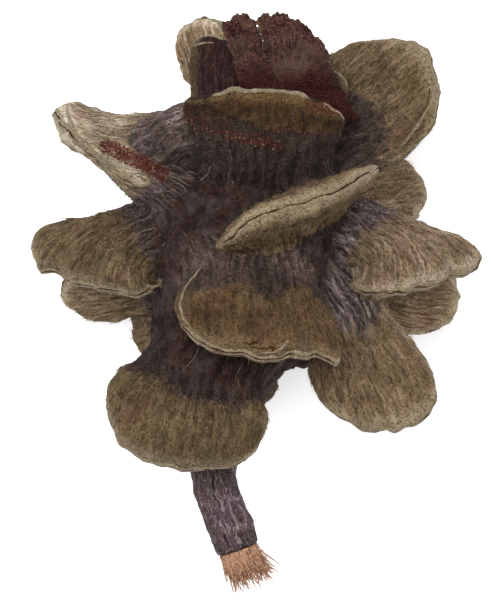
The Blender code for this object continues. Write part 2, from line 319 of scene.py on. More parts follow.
def feltGroup():
    # Felt: fine lengthwise fibres and single pale threads over a matted grain.
    # Flow is millimetres across and along the fibres.
    group = bpy.data.node_groups.new("feltGrain", "ShaderNodeTree")
    makeSockets(group, (("Flow", "Vector"), ("Fibre Width", "Float", 0.3), ("Fibre Length", "Float", 2.0),
                        ("Grain Size", "Float", 0.6), ("Thread Width", "Float", 0.9)),
                [(name, "Float") for name in feltOutputs])
    start = add(group, "NodeGroupInput").outputs
    end = add(group, "NodeGroupOutput")
    place = add(group, "ShaderNodeTexCoord").outputs["Object"]
    inMillimetres = stretched(group, place, (1000, 1000, 1000))
    along = maths(group, "DIVIDE", 1.0, start["Fibre Length"])
    wander = {"Vector": inMillimetres, "Scale": 0.55, "Detail": 3.0}
    wander = add(group, "ShaderNodeTexNoise", wander).outputs["Color"]
    bent = vectorMaths(group, "SUBTRACT", wander, (0.5, 0.5, 0.5))
    bent = vectorMaths(group, "MULTIPLY", bent, (1.1, 1.6, 0.0))
    flow = vectorMaths(group, "ADD", start["Flow"], bent)
    rows = []
    for width, detail in (("Fibre Width", 2.0), ("Thread Width", 1.5)):
        across = maths(group, "DIVIDE", 1.0, start[width])
        scale = add(group, "ShaderNodeCombineXYZ", (across, along, 1.0)).outputs[0]
        rows.append(grainNoise(group, stretched(group, flow, scale), 1.0, detail, 0.55))
    fibres, strands = rows
    offMiddle = maths(group, "ABSOLUTE", maths(group, "SUBTRACT", strands, 0.5))
    threads = span(group, offMiddle, 0.038, 0.004)
    grainScale = maths(group, "DIVIDE", 1.0, start["Grain Size"])
    grain = grainNoise(group, inMillimetres, grainScale, 5.0, 0.7)
    specks = grainNoise(group, inMillimetres, times(group, grainScale, 1.9), 2.0, 0.6)
    mottle = grainNoise(group, inMillimetres, 0.62, 3.0, 0.6)
    patches = grainNoise(group, inMillimetres, 0.20, 4.0, 0.62)
    height = maths(group, "ADD", times(group, fibres, 0.8), times(group, grain, 0.8))
    height = maths(group, "ADD", height, times(group, threads, 0.16))
    for name, value in zip(feltOutputs, (fibres, threads, grain, specks, mottle, patches, height)):
        put(group, end.inputs[name], value)
    return group


felt = feltGroup()


def feltIn(tree, width, length, size, thread=0.9):
    # the felt group in a material's tree, reading the mesh's own flow
    inputs = {"Flow": readVector(tree, "flow"), "Fibre Width": width, "Fibre Length": length,
              "Grain Size": size, "Thread Width": thread}
    node = add(tree, "ShaderNodeGroup", node_tree=felt)
    for name, value in inputs.items():
        put(tree, node.inputs[name], value)
    return node.outputs


def toned(tree, colour):
    # the felt's brightness at that place, which also holds the painted light in the bay between the two front
    # follicles
    return vectorMaths(tree, "MULTIPLY", colour, readVector(tree, "tone"))


def objectGrain(tree, scale):
    return grainNoise(tree, add(tree, "ShaderNodeTexCoord").outputs["Object"], scale)


# The follicles, as in the frame: root and tip of the middle line, the elbow that bends it, the mouth's way

plainFollicle = dict(elbow=None, flange=26.0, neck=18.0, body=11.0, lip=5.0, rim=11.0, flare=(0.42, 0.86),
                     growth=1.28, outline=(0,) * 7, curl=(0,) * 7)
follicles = {
    "front_upper": dict(root=(2, 11, 34), tip=(8.7, 16.6, 67.5), across=(0.9, 0.42, -0.1), flange=29.0, neck=20,
                        body=8.6, lip=4.0, rim=9, curl=(0, 1.3, 0.8, 0, -0.3, 0.2, 0.8)),
    "front_lower": dict(root=(-2, 9, 36), elbow=(-1, 3, 52), tip=(0.9, -8.8, 61), across=(0.97, -0.2, 0.05),
                        flange=26, neck=21, body=15, lip=5.4, rim=11, outline=(1, 0, -1, 0, 1, 3, 9),
                        curl=(1.2, 0, 0.5, 0, 0.8, 0, 0)),
    "low_left": dict(root=(-4.4, 0, 38), elbow=(-10.8, -14, 44), tip=(-13.7, -26.6, 46.5),
                     across=(0.98, -0.12, 0.05), flange=26.6, neck=19, body=11, lip=6, rim=12,
                     flare=(0.39, 0.79), outline=(1.0, 0.6, 0.5, 0.1, 0.1, 0.7, 2.6)),
    "low_right": dict(root=(4, 9, 36), elbow=(16.5, 2, 39), tip=(20.3, -20.6, 41),
                      across=(0.95, -0.12, 0.3), flange=20.8, neck=14, body=10, lip=5, rim=8, flare=(0.6, 0.97),
                      outline=(-2.4, -1.4, -0.5, 0.2, 1.0, 2.0, 3.0)),
    "right": dict(root=(0, 13, 34), elbow=(21.5, 12.6, 36), tip=(27.75, 3.0, 42), across=(0.95, 0.03, -0.3),
                  flange=24.6, neck=14.5, rim=5, outline=(0.6, 0.2, 0, 0, 0.2, 1.7, 1.6), flare=(0.65, 1.0)),
    "left": dict(root=(-2, 12, 34), elbow=(-24, 11.0, 36), tip=(-28.7, 3.3, 39), across=(0.9, -0.2, 0.38),
                 flange=24.4, neck=14.5, rim=6, flare=(0.5, 0.97), outline=(1.2, 1.8, 0.5, -0.3, 0, 0, 0.4)),
    "upper_left": dict(root=(-1, 19, 35), elbow=(-18.2, 22.8, 38), tip=(-32.4, 30.8, 39),
                       across=(0.2, -0.42, 0.88), flange=17.5, neck=18, body=15, lip=4.6, growth=1.42, rim=9,
                       outline=(0.2, 0.2, 0.5, 0.5, 0.0, -0.2, 0.4)),
    "upper_right": dict(root=(1, 18, 35), elbow=(12.5, 27, 37), tip=(26.4, 40.7, 37),
                        across=(0.64, -0.62, 0.45), flange=23.4, neck=18, body=12, lip=6.4, rim=9.5,
                        outline=(-3.7, -2.2, 0.5, 1.6, 0.7, -0.3, 0.2)),
    "back_right_upper": dict(root=(0, 15, 32), tip=(27.2, 20.2, 17), across=(-0.1, 0.8, -0.6),
                             flange=16.6, neck=14, body=9, rim=9),
    "back_right_lower": dict(root=(0, 4, 32), tip=(33.3, 2.4, 19.5), across=(0.2, 0.75, -0.6),
                             flange=18.2, neck=12, body=9, rim=9),
    "back_left": dict(root=(-3, 6, 32), tip=(-31.4, 0.8, 20), across=(0.1, 0.55, 0.8),
                      flange=13.8, neck=10, body=8, rim=6, growth=1.6),
    "top_back": dict(root=(0, 22, 32), tip=(-10.2, 46.3, 25), across=(0.75, 0.1, 0.62),
                     flange=12.6, neck=8, body=8, rim=7, flare=(0.62, 0.96),
                     outline=(0, 1.0, 0.9, 0.2, 0, 0, 0)),
    "rest_upper_left": dict(root=(-2, 20, 32), tip=(-17, 24, -0.7), across=(0.5, 0.85, 0), flange=24, neck=17),
    "rest_right": dict(root=(1, 14, 32), tip=(19, 14, -0.7), across=(-0.35, 0.9, 0.1), flange=25, neck=17),
    "rest_low": dict(root=(-4, -6, 32), tip=(-9.6, -18.5, -0.7), across=(0.95, 0.1, 0), flange=23, neck=17),
    "back_middle": dict(root=(-1, 4, 32), tip=(-1, 3, 3.0), across=(0.85, -0.5, 0), flange=24, neck=17),
    "back_top": dict(root=(1, 24, 32), tip=(5, 39, 11), across=(0.95, -0.1, 0.2), flange=24, neck=17),
    "back_low_left": dict(root=(-4, -3, 33), tip=(-19.2, -0.6, 12), across=(0.5, 0.8, 0.3),
                          flange=18, neck=16, rim=9),
    "back_low_right": dict(root=(-2, -3, 33), tip=(19, -4.0, 12), across=(-0.4, 0.75, -0.5),
                           flange=19, neck=15, rim=9),
    "valve_front": dict(root=(0, 18, 36), elbow=(0.8, 27, 50), tip=(1.5, 33.4, 61), across=(0.99, -0.09, 0.05),
                        flange=26, neck=23, body=12, lip=2.8, rim=4, outline=(0.5, 0.3, 0, 0, -0.2, 0.2, 0.6),
                        curl=(-1.2, -1.1, 0.6, 0.8, 1.3, 0.3, -1.0)),
    "valve_back": dict(root=(0, 18, 34), elbow=(1.0, 32, 41), tip=(2.2, 41.3, 46), across=(0.95, -0.22, 0.1),
                       flange=26.8, neck=23, body=11, lip=2.6, rim=5, outline=(1.5, 1.5, 0, 0, 0, 0, 0),
                       curl=(2.0, 1.0, 0, -0.6, 0, 1, 2.0)),
}
follicleOrder = list(follicles)

bodyShape = {
    "voxel": 0.45,
    "rings": 44,
    "pointsAround": 96,
    "neckRidge": 0.35,
    "lipStart": 0.88,
    "rimRag": 0.2,
    "axisFoot": (-6.0, -23.0, 34.0),
    "axisTop": (1.0, 31.0, 35.0),
    "axisRadii": ((0.0, 4.0), (0.08, 5.2), (0.2, 8.0), (0.36, 13.4), (0.55, 16.0), (0.75, 15.0), (0.9, 11.0),
                  (1.0, 5.0)),
    "webLine": ((-7.5, 29.2, 48.0), (-12.0, 27.4, 47.0), (-16.0, 25.4, 43.0), (-20.0, 23.6, 40.0)),
    "webRadii": (4.4, 4.4, 4.4, 4.4),
    "webShares": (0.26, 0.52),  # it is dressed like this stretch of the upper left follicle
    "stalkLine": ((-4.5, -16.0, 34.0), (-7.0, -25.0, 33.5), (-6.9, -29.8, 33.1), (-5.1, -34.4, 32.7),
                  (-3.0, -40.2, 32.2)),
    "stalkRadii": (4.8, 3.9, 3.62, 3.67, 3.7),
    "creaseRounds": 70,
    "creaseReach": (19.0, 27.0),  # from the axis: where the filling fades
    "creaseGains": (0.9, 0.06, 0.03),  # step of hollow places, of raised places, and of every place
    "wrinkle": 0.62,
    "fibreRelief": 0.15,
    "unevenness": 0.32,
    "restHeight": 0.05,
    "lowest": 0.01,  # how far every dressed piece stays over the floor
    "mostFaces": 196000,
}


def ease(low, high, x):
    t = np.clip((np.asarray(x, float) - low) / (high - low), 0.0, 1.0)
    return t * t * (3.0 - 2.0 * t)


def rowValue(values, place):
    # a row of evenly spaced values, read at shares of its length and eased from one to the next
    row = np.array(values, float)
    spot = np.clip(place, 0.0, 1.0) * (len(row) - 1)
    index = np.minimum(spot.astype(int), len(row) - 2)
    turn = ease(0.0, 1.0, spot - index)
    return row[index] * (1 - turn) + row[index + 1] * turn


def unit(v):
    return v / np.linalg.norm(v, axis=-1, keepdims=True)


def smoothed(line, rounds):
    # each point evened out with its neighbours, the ends kept
    for _ in range(rounds):
        line[1:-1] = (line[:-2] + line[2:] + 2 * line[1:-1]) / 4
    return line


def runAlong(path):
    # how far along a line each of its points is
    return np.concatenate([[0], np.cumsum(np.linalg.norm(np.diff(path, axis=0), axis=1))])


def readAlong(path, run, spots):
    return np.stack([np.interp(spots, run, column) for column in path.T], axis=1)


def besides(ahead):
    # two ways at right angles to a line's own
    right = unit(np.cross(ahead, (0.0, 0.0, 1.0)))
    return right, np.cross(right, ahead)


def loftFollicle(name, shares, angles):
    # for each share of its length and angle round it, the point and the way out of the face
    spec = {**plainFollicle, **follicles[name]}
    share, angle = np.meshgrid(shares, angles, indexing="ij")
    share, angle = share[..., None], angle[..., None]
    root, tip = np.array(spec["root"], float), np.array(spec["tip"], float)
    elbow = np.array(spec["elbow"], float) if spec["elbow"] else (root + tip) / 2
    centre = root * (1 - share) ** 2 + elbow * 2 * share * (1 - share) + tip * share ** 2
    way = unit((elbow - root) * (1 - share) + (tip - elbow) * share)
    across = np.array(spec["across"], float)
    across = unit(across - way * (way @ across)[..., None])
    lift = np.cross(way, across)
    flare = ease(*spec["flare"], share)
    growth = 1 + (spec["growth"] - 1) * (1 - ease(0.0, 0.42, share))
    halfWidth = (spec["neck"] * (1 - flare) + spec["flange"] * flare) / 2 * growth
    halfThick = (spec["body"] * (1 - flare) + spec["lip"] * 1.25 * flare) / 2 * growth
    pastLip = np.clip((share - bodyShape["lipStart"]) / (1 - bodyShape["lipStart"]), 0, 1)
    halfThick = halfThick * np.sqrt(np.clip(1 - pastLip ** 2, 0, 1))
    side, up = np.cos(angle), np.sin(angle)
    place = (side + 1) / 2
    dice = np.random.default_rng(follicleOrder.index(name))
    phases = dice.uniform(0, fullTurn, 6)
    ridge = sum(np.sin(angle * k + phases[k % 6]) for k in (3, 5, 8, 11)) * 0.4
    ridge = ridge * bodyShape["neckRidge"] * (1 - flare) * ease(0.1, 0.4, share)
    rag = sum(np.sin(side * k + phases[k % 6]) for k in (5, 9, 14, 23, 37)) * bodyShape["rimRag"]
    rag = rag * ease(0.8, 1.0, share)
    back = spec["rim"] * share ** 2 * (1 - np.abs(up))
    push = rowValue(spec["outline"], place) * share ** 3 + rag
    raiseBy = rowValue(spec["curl"], place) * share ** 3
    points = centre + way * (push - back) + across * side * (halfWidth + ridge)
    points = points + lift * (np.copysign(np.abs(up) ** 0.85, up) * (halfThick + ridge) + raiseBy)
    return points, lift


def loftTube(centres, radii, count, steps, ripple, seed):
    # rings round a line, read smoothly between its points
    centres, radii = np.array(centres, float), np.array(radii, float)
    knots = np.linspace(0, 1, len(centres))
    shares = np.linspace(0, 1, steps)
    line = smoothed(readAlong(centres, knots, shares), 4)
    size = np.interp(shares, knots, radii)
    right, other = besides(unit(np.gradient(line, axis=0)))
    angles = np.linspace(0, 2 * math.pi, count, endpoint=False)
    dice = np.random.default_rng(seed)
    bumps = sum(np.sin(angles * k + dice.uniform(0, fullTurn)) for k in (2, 3, 5, 7)) * ripple
    radius = size[:, None, None] + bumps[None, :, None]
    spokes = right[:, None] * np.cos(angles)[:, None] + other[:, None] * np.sin(angles)[:, None]
    return line[:, None] + spokes * radius


def tubeFaces(rings, around, first=0):
    # the quads of a tube of rings, then its two ends, as corner indices
    faces = []
    for k in range(rings - 1):
        ring, following = first + k * around, first + (k + 1) * around
        faces += [(ring + i, ring + j, following + j, following + i)
                  for i, j in ((i, (i + 1) % around) for i in range(around))]
    last = first + (rings - 1) * around
    return faces + [tuple(range(first, first + around))[::-1], tuple(range(last, last + around))]


def joinedLofts():
    # all follicles, the axis, the web and the stalk as closed overlapping shells in one mesh, with the
    # owner, the place (share of the length, up and side) and the flow that the skin takes over from them
    shares = 1 - (1 - np.linspace(0, 1, bodyShape["rings"])) ** 1.35
    count = bodyShape["pointsAround"]
    angles = np.linspace(0, 2 * math.pi, count, endpoint=False)
    shells = []
    for number, name in enumerate(follicleOrder):
        points, lift = loftFollicle(name, shares, angles)
        # the flow's seam lies on the side away from the camera
        turn = 3 * count // 4 if lift[..., 2].mean() > 0 else count // 4
        points = np.roll(points, -turn, axis=1)
        rolled = np.roll(angles, -turn)
        parts = (shares[:, None], np.sin(rolled)[None], np.cos(rolled)[None])
        place = np.stack([np.broadcast_to(part, points.shape[:2]) for part in parts], axis=-1)
        shells.append((number, points, place, unit(np.gradient(points, axis=0) + 1e-9)))
    foot, top = np.array(bodyShape["axisFoot"]), np.array(bodyShape["axisTop"])
    centres = [foot * (1 - s) + top * s for s, _ in bodyShape["axisRadii"]]
    radii = [r for _, r in bodyShape["axisRadii"]]
    axis = loftTube(centres, radii, count=64, steps=60, ripple=0.3, seed=5)
    web = loftTube(bodyShape["webLine"], bodyShape["webRadii"], count=48, steps=40, ripple=0.3, seed=11)
    webPlace = np.zeros(web.shape)
    webPlace[..., 0] = np.linspace(*bodyShape["webShares"], len(web))[:, None]
    webPlace[..., 1] = 1
    stalk = loftTube(bodyShape["stalkLine"], bodyShape["stalkRadii"], count=64, steps=90, ripple=0.09, seed=8)
    for number, tube, place in ((len(follicleOrder), axis, np.zeros(axis.shape)),
                                (follicleOrder.index("upper_left"), web, webPlace),
                                (len(follicleOrder) + 1, stalk, np.zeros(stalk.shape))):
        shells.append((number, tube, place, unit(np.gradient(tube, axis=0))))
    faces, owners, flows = [], [], []
    first = 0
    for number, points, _, _ in shells:
        rings, around = points.shape[:2]
        reference = points[int(rings * 0.72)]
        u = runAlong(np.concatenate([reference, reference[:1]]))
        v = runAlong(points.mean(axis=1))
        faces += tubeFaces(rings, around, first)
        for k in range(rings - 1):
            for i in range(around):
                flows += ((u[i], v[k]), (u[i + 1], v[k]), (u[i + 1], v[k + 1]), (u[i], v[k + 1]))
                owners.append(number * 2 + (i >= around // 2))
        flows += [(u[i], v[0]) for i in range(around)][::-1] + [(u[i], v[-1]) for i in range(around)]
        owners += [number * 2] * 2
        first += rings * around
    points, places, ways = (np.concatenate([shell[k].reshape(-1, 3) for shell in shells])
                            for k in (1, 2, 3))
    mesh = bpy.data.meshes.new("lofts")
    mesh.from_pydata((points * mm).tolist(), [], faces)
    mesh.attributes.new("owner", "INT", "FACE").data.foreach_set("value", owners)
    storeVector(mesh, "place", places)
    storeVector(mesh, "along", ways)
    storeVector(mesh, "flow", [(a, b, 0.0) for a, b in flows], "CORNER")
    return placed("lofts", mesh)


def linksOf(mesh):
    # the two ends of every edge, and how many edges meet at each point
    a, b = fetched(mesh.edges, "vertices", 2, int).T
    return a, b, np.bincount(a, minlength=len(mesh.vertices)) + np.bincount(b, minlength=len(mesh.vertices))


def aroundSum(values, a, b):
    # for each point, the sum of its neighbours' values
    return np.bincount(a, values[b], len(values)) + np.bincount(b, values[a], len(values))


def evened(values, links, rounds):
    # values evened out with their neighbours along the skin, round by round
    a, b, degree = links
    for _ in range(rounds):
        values = (values + aroundSum(values, a, b) / degree) / 2
    return values


def fromAxis(points):
    # how far points are from the line of the woody axis
    foot, top = np.array(bodyShape["axisFoot"]), np.array(bodyShape["axisTop"])
    along = np.clip((points - foot) @ (top - foot) / ((top - foot) @ (top - foot)), 0, 1)
    return np.linalg.norm(points - foot - along[:, None] * (top - foot), axis=1)


def fillCreases(mesh):
    # Necks run into the axis in a soft curve: hollow places near it are drawn outwards, round by round.
    points = pointsOf(mesh)
    a, b, degree = linksOf(mesh)
    near = 1 - ease(*bodyShape["creaseReach"], fromAxis(points))
    filling, sinking, everywhere = bodyShape["creaseGains"]
    for lap in range(bodyShape["creaseRounds"]):
        middle = np.stack([aroundSum(points[:, k], a, b) for k in range(3)], axis=1)
        step = middle / degree[:, None] - points
        if lap % 5 == 0:
            setPoints(mesh, points)
            normals = normalsOf(mesh)
        outward = (step * normals).sum(axis=1)
        gain = np.where(outward > 0, filling, sinking) * near + everywhere
        points = points + step * gain[:, None]
    setPoints(mesh, points)


def carryTree():
    # Geometry nodes: the shells' owner, flow and place, copied to the skin that was made round them
    tree, start = geometryTree("carryFlow", (("Shells", "Object"),))
    shells = add(tree, "GeometryNodeObjectInfo", {"Object": start["Shells"]}).outputs["Geometry"]
    geometry = start["Geometry"]
    here = add(tree, "GeometryNodeInputPosition").outputs[0]
    for name, domain, kind in (("owner", "FACE", "INT"), ("flow", "CORNER", "FLOAT_VECTOR"),
                               ("place", "POINT", "FLOAT_VECTOR"), ("along", "POINT", "FLOAT_VECTOR")):
        sample = add(tree, "GeometryNodeSampleNearestSurface", {"Mesh": shells, "Sample Position": here},
                     data_type=kind)
        put(tree, sample.inputs["Value"], named(tree, name, kind))
        if name == "flow":
            owner = named(tree, "owner", "INT")
            put(tree, sample.inputs["Group ID"], owner)
            put(tree, sample.inputs["Sample Group ID"], owner)
        geometry = stored(tree, geometry, name, sample.outputs["Value"], kind, domain)
    return closed(tree, geometry)


# The skin's looks, its relief and its masks

coat = {  # brightness of the felt, share where olive begins, strength of long fibres, how pale the neck is
    "front_upper": (1.36, 0.50, 0.20, 0.12), "front_lower": (0.76, 0.66, 0.12, 0.1),
    "low_left": (0.96, 0.60, 0.10, 0.0), "low_right": (1.42, 0.60, 0.55, 0.95),
    "right": (1.72, 0.58, 0.8, 0.85), "left": (1.06, 0.55, 0.45, 0.3),
    "upper_left": (2.45, 0.56, 1.0, 0.6), "upper_right": (1.32, 0.68, 0.55, 0.05),
    "back_right_upper": (1.7, 0.5, 0.9, 0.6), "back_right_lower": (1.7, 0.5, 0.9, 0.6),
    "back_left": (1.75, 0.5, 0.8, 0.6), "top_back": (2.4, 0.3, 1.0, 0.6),
    "rest_low": (1.0, 0.6, 0.4, 0.4), "back_middle": (1.0, 0.6, 0.4, 0.4),
    "back_low_left": (1.1, 0.6, 0.6, 0.7), "back_low_right": (1.1, 0.6, 0.6, 0.7),
    "valve_front": (0.58, 0.78, 0.2, 0.0), "valve_back": (0.8, 0.6, 0.4, 0.2),
    "core": (1.0, 9.0, 0.3, 0.1), "stalk": (1.0, 9.0, 0.5, 0.6),
}
plainCoat = (1.1, 0.6, 0.5, 0.4)
coatTint = {  # felt that is browner or greyer than the rest, as factors of red, green and blue
    "valve_front": (1.08, 0.86, 0.66), "front_lower": (1.02, 0.90, 0.80), "upper_left": (1.0, 1.06, 1.12),
    "front_upper": (1.0, 0.98, 0.94), "right": (1.0, 1.0, 1.06),
}
scarPatches = (  # which follicle, the rough patch's line from above, its half width and how strong it is
    ("upper_left", (-24.3, 25.5), (-15.2, 21.0), 1.4, 1.0),
    ("valve_front", (-8.8, 28.6), (-2.0, 26.2), 1.2, 0.34),
    ("valve_front", (-4.0, 27.0), (3.4, 25.4), 1.0, 0.52),
    ("valve_front", (2.0, 28.0), (11.0, 27.4), 0.8, 0.33),
    ("valve_front", (8.2, 32.0), (14.0, 30.6), 1.1, 0.55),
    ("valve_front", (-11.5, 31.5), (-9.5, 28.0), 1.1, 0.36),
)



def dressSkin(mesh):
    # wrinkles, fibres and unevenness in the skin itself, and the masks that its material reads
    names = follicleOrder + ["core", "stalk"]
    flowCorner = fetched(mesh.attributes["flow"].data, "vector", 3)
    ownerFace = fetched(mesh.attributes["owner"].data, "value", 1, int)
    ownerCorner = np.repeat(ownerFace, fetched(mesh.polygons, "loop_total", 1, int)) // 2
    corners = fetched(mesh.loops, "vertex_index", 1, int)
    points = pointsOf(mesh)
    flow = np.zeros((len(points), 3))
    owner = np.zeros(len(points), int)
    flow[corners] = flowCorner
    owner[corners] = ownerCorner
    flowCorner[:, 2] = ownerCorner * flowGap
    mesh.attributes["flow"].data.foreach_set("vector", flowCorner.ravel())
    share, up, side = fetched(mesh.attributes["place"].data, "vector", 3).T

    def on(name):
        return owner == names.index(name)

    isCore, isStalk = on("core"), on("stalk")
    tone, oliveFrom, fibrous, neckPale = np.array([coat.get(name, plainCoat) for name in names])[owner].T

    # relief
    neck = ease(0.10, 0.28, share) * (1 - ease(0.55, 0.8, share))
    flange = ease(0.5, 0.75, share)
    u, v = flow[:, 0], flow[:, 1]
    number = owner * flowGap
    sway = noiseAt(points / 5.0)
    coarse = noiseAt(np.stack([(u + sway * 1.4) / 1.7, v / 9.0, number], axis=1))
    crest = np.clip(1 - 4.2 * np.abs(coarse), 0, 1) ** 1.3
    fine = noiseAt(np.stack([(u + sway) / 0.8, v / 4.5, number + 3], axis=1))
    lumps = noiseAt(points / 2.8) + 0.6 * noiseAt(points / 1.2 + 9)
    away = (crest - 0.35) * np.maximum(neck, fibrous * 0.35 * flange) * bodyShape["wrinkle"]
    away += fine * bodyShape["fibreRelief"] * (0.6 + flange * (0.4 + 1.4 * fibrous))
    away += lumps * bodyShape["unevenness"] * np.where(isCore, 1.5, 1.0)
    away += (crest - 0.35) * 0.2 * isStalk
    away *= 1 - ease(0.9, 1.0, share) * 0.6
    points = points + normalsOf(mesh) * away[:, None]
    points[:, 2] = np.maximum(points[:, 2], bodyShape["restHeight"])
    setPoints(mesh, points)
    normals = normalsOf(mesh)
    links = linksOf(mesh)
    # how hollow each place is, at two sizes; the material darkens hollow and creased places with painted shade
    for name, rounds, reach in (("crease", 7, 0.10), ("hollow", 90, 1.1)):      # above 0 where it is hollow
        soft = np.stack([evened(points[:, k], links, rounds) for k in range(3)], axis=1)
        storeFloat(mesh, name, np.clip(((soft - points) * normals).sum(axis=1) / reach, -1, 1))

    # masks
    storeFloat(mesh, "crest", crest * neck)
    pale = neckPale * np.clip(0.75 + 0.9 * noiseAt(points / 4.5 + 17), 0, 1.3)
    storeFloat(mesh, "pale", np.clip(pale, 0, 1))
    out = fromAxis(points) - 16.0
    base = 1 - ease(-3.0, 3.0, out + 2.2 * noiseAt(points / 3.0 + 11))
    out = np.where(share > 0.5, np.maximum(out, (share - 0.5) * 40), out)
    border = share + 0.11 * noiseAt(points / 4.0 + 3) + 0.05 * noiseAt(points / 1.5 + 5)
    olive = ease(-0.07, 0.07, border - oliveFrom) * ~(isCore | isStalk)
    olive = olive * ease(-0.5, 4.0, out + noiseAt(points / 2.0))
    tornEnd = ease(-0.92, -0.5, side + 0.2 * noiseAt(points / 1.5))      # torn down to dark wood
    olive = olive * np.where(on("valve_front"), tornEnd, 1.0)
    storeFloat(mesh, "olive", evened(olive, links, 30))
    base = evened(np.where(isCore, 1.0, base * (1 - ease(0.42, 0.62, share))) * ~isStalk, links, 30)
    storeFloat(mesh, "core", base)
    storeFloat(mesh, "stalk", isStalk)
    storeFloat(mesh, "fibrous", evened(fibrous * (1 - base) + isStalk, links, 12))
    # the outline's rim, which the material paints paler: partly the felt's own pale rim, partly painted
    # highlight
    rim = np.maximum(ease(0.93, 0.985, share), ease(0.965, 0.998, np.abs(side)) * ease(0.55, 0.8, share))
    storeFloat(mesh, "edge", rim * ~(isCore | isStalk))
    hairy = 0.14 + 0.25 * neckPale * neck + (0.35 + 0.8 * fibrous) * flange
    storeFloat(mesh, "hair", hairy * (1 - 0.4 * base) * (1 - ease(0.86, 0.95, share)))
    inner = on("valve_front") * ease(0.3, 0.6, up) * ease(0.5, 0.62, share)
    inner = inner + on("valve_back") * ease(-0.3, -0.6, up) * ease(0.45, 0.6, share)
    storeFloat(mesh, "inner", inner)

    # brightness and hue: pale felt is also greyer, and the bay between the two front follicles gets painted
    # light
    onFelt = np.minimum(1 - base, ease(-0.16, 0.12, border - oliveFrom))
    blotch = 0.36 * noiseAt(points / 5.0 + 7) + 0.30 * noiseAt(points / 1.6 + 13)
    neckTone = (0.75 * neckPale - 0.15) * (1 - onFelt) * (1 - base)
    bright = evened(1 + (tone - 1) * onFelt + neckTone, links, 20) * (1 + blotch)
    hue = np.array([coatTint.get(name, (1, 1, 1)) for name in names])[owner]
    hue = 1 + (hue - 1) * onFelt[:, None]
    over = np.clip(bright - 1, 0, 2)
    greyer = np.stack([bright, bright * (1 + 0.04 * over), bright * (1 + 0.2 * over)], axis=1)
    # painted light: the front lower follicle's neck, in the bay between the two front follicles, is made up to
    # about twice as bright
    lit = on("front_lower") * ease(0.22, 0.34, share) * (1 - ease(0.5, 0.6, share))
    lit = evened(lit, links, 30)[:, None]
    greyer = greyer * np.stack([evened(hue[:, k], links, 12) for k in range(3)], axis=1) * (1 + 1.05 * lit)
    storeVector(mesh, "tone", greyer)

    scar = np.zeros(len(points))
    for name, first, last, reach, strength in scarPatches:
        line = np.subtract(last, first)
        step = np.clip((points[:, :2] - first) @ line / (line @ line), 0, 1)
        gap = np.linalg.norm(points[:, :2] - first - step[:, None] * line, axis=1) / reach
        gap = gap + 0.4 * noiseAt(points / 1.6 + 1)
        mine = on(name) & (normals[:, 2] > -0.1)
        scar = np.maximum(scar, (1 - ease(0.6, 1.0, gap)) * mine * strength)
    storeFloat(mesh, "scar", scar)


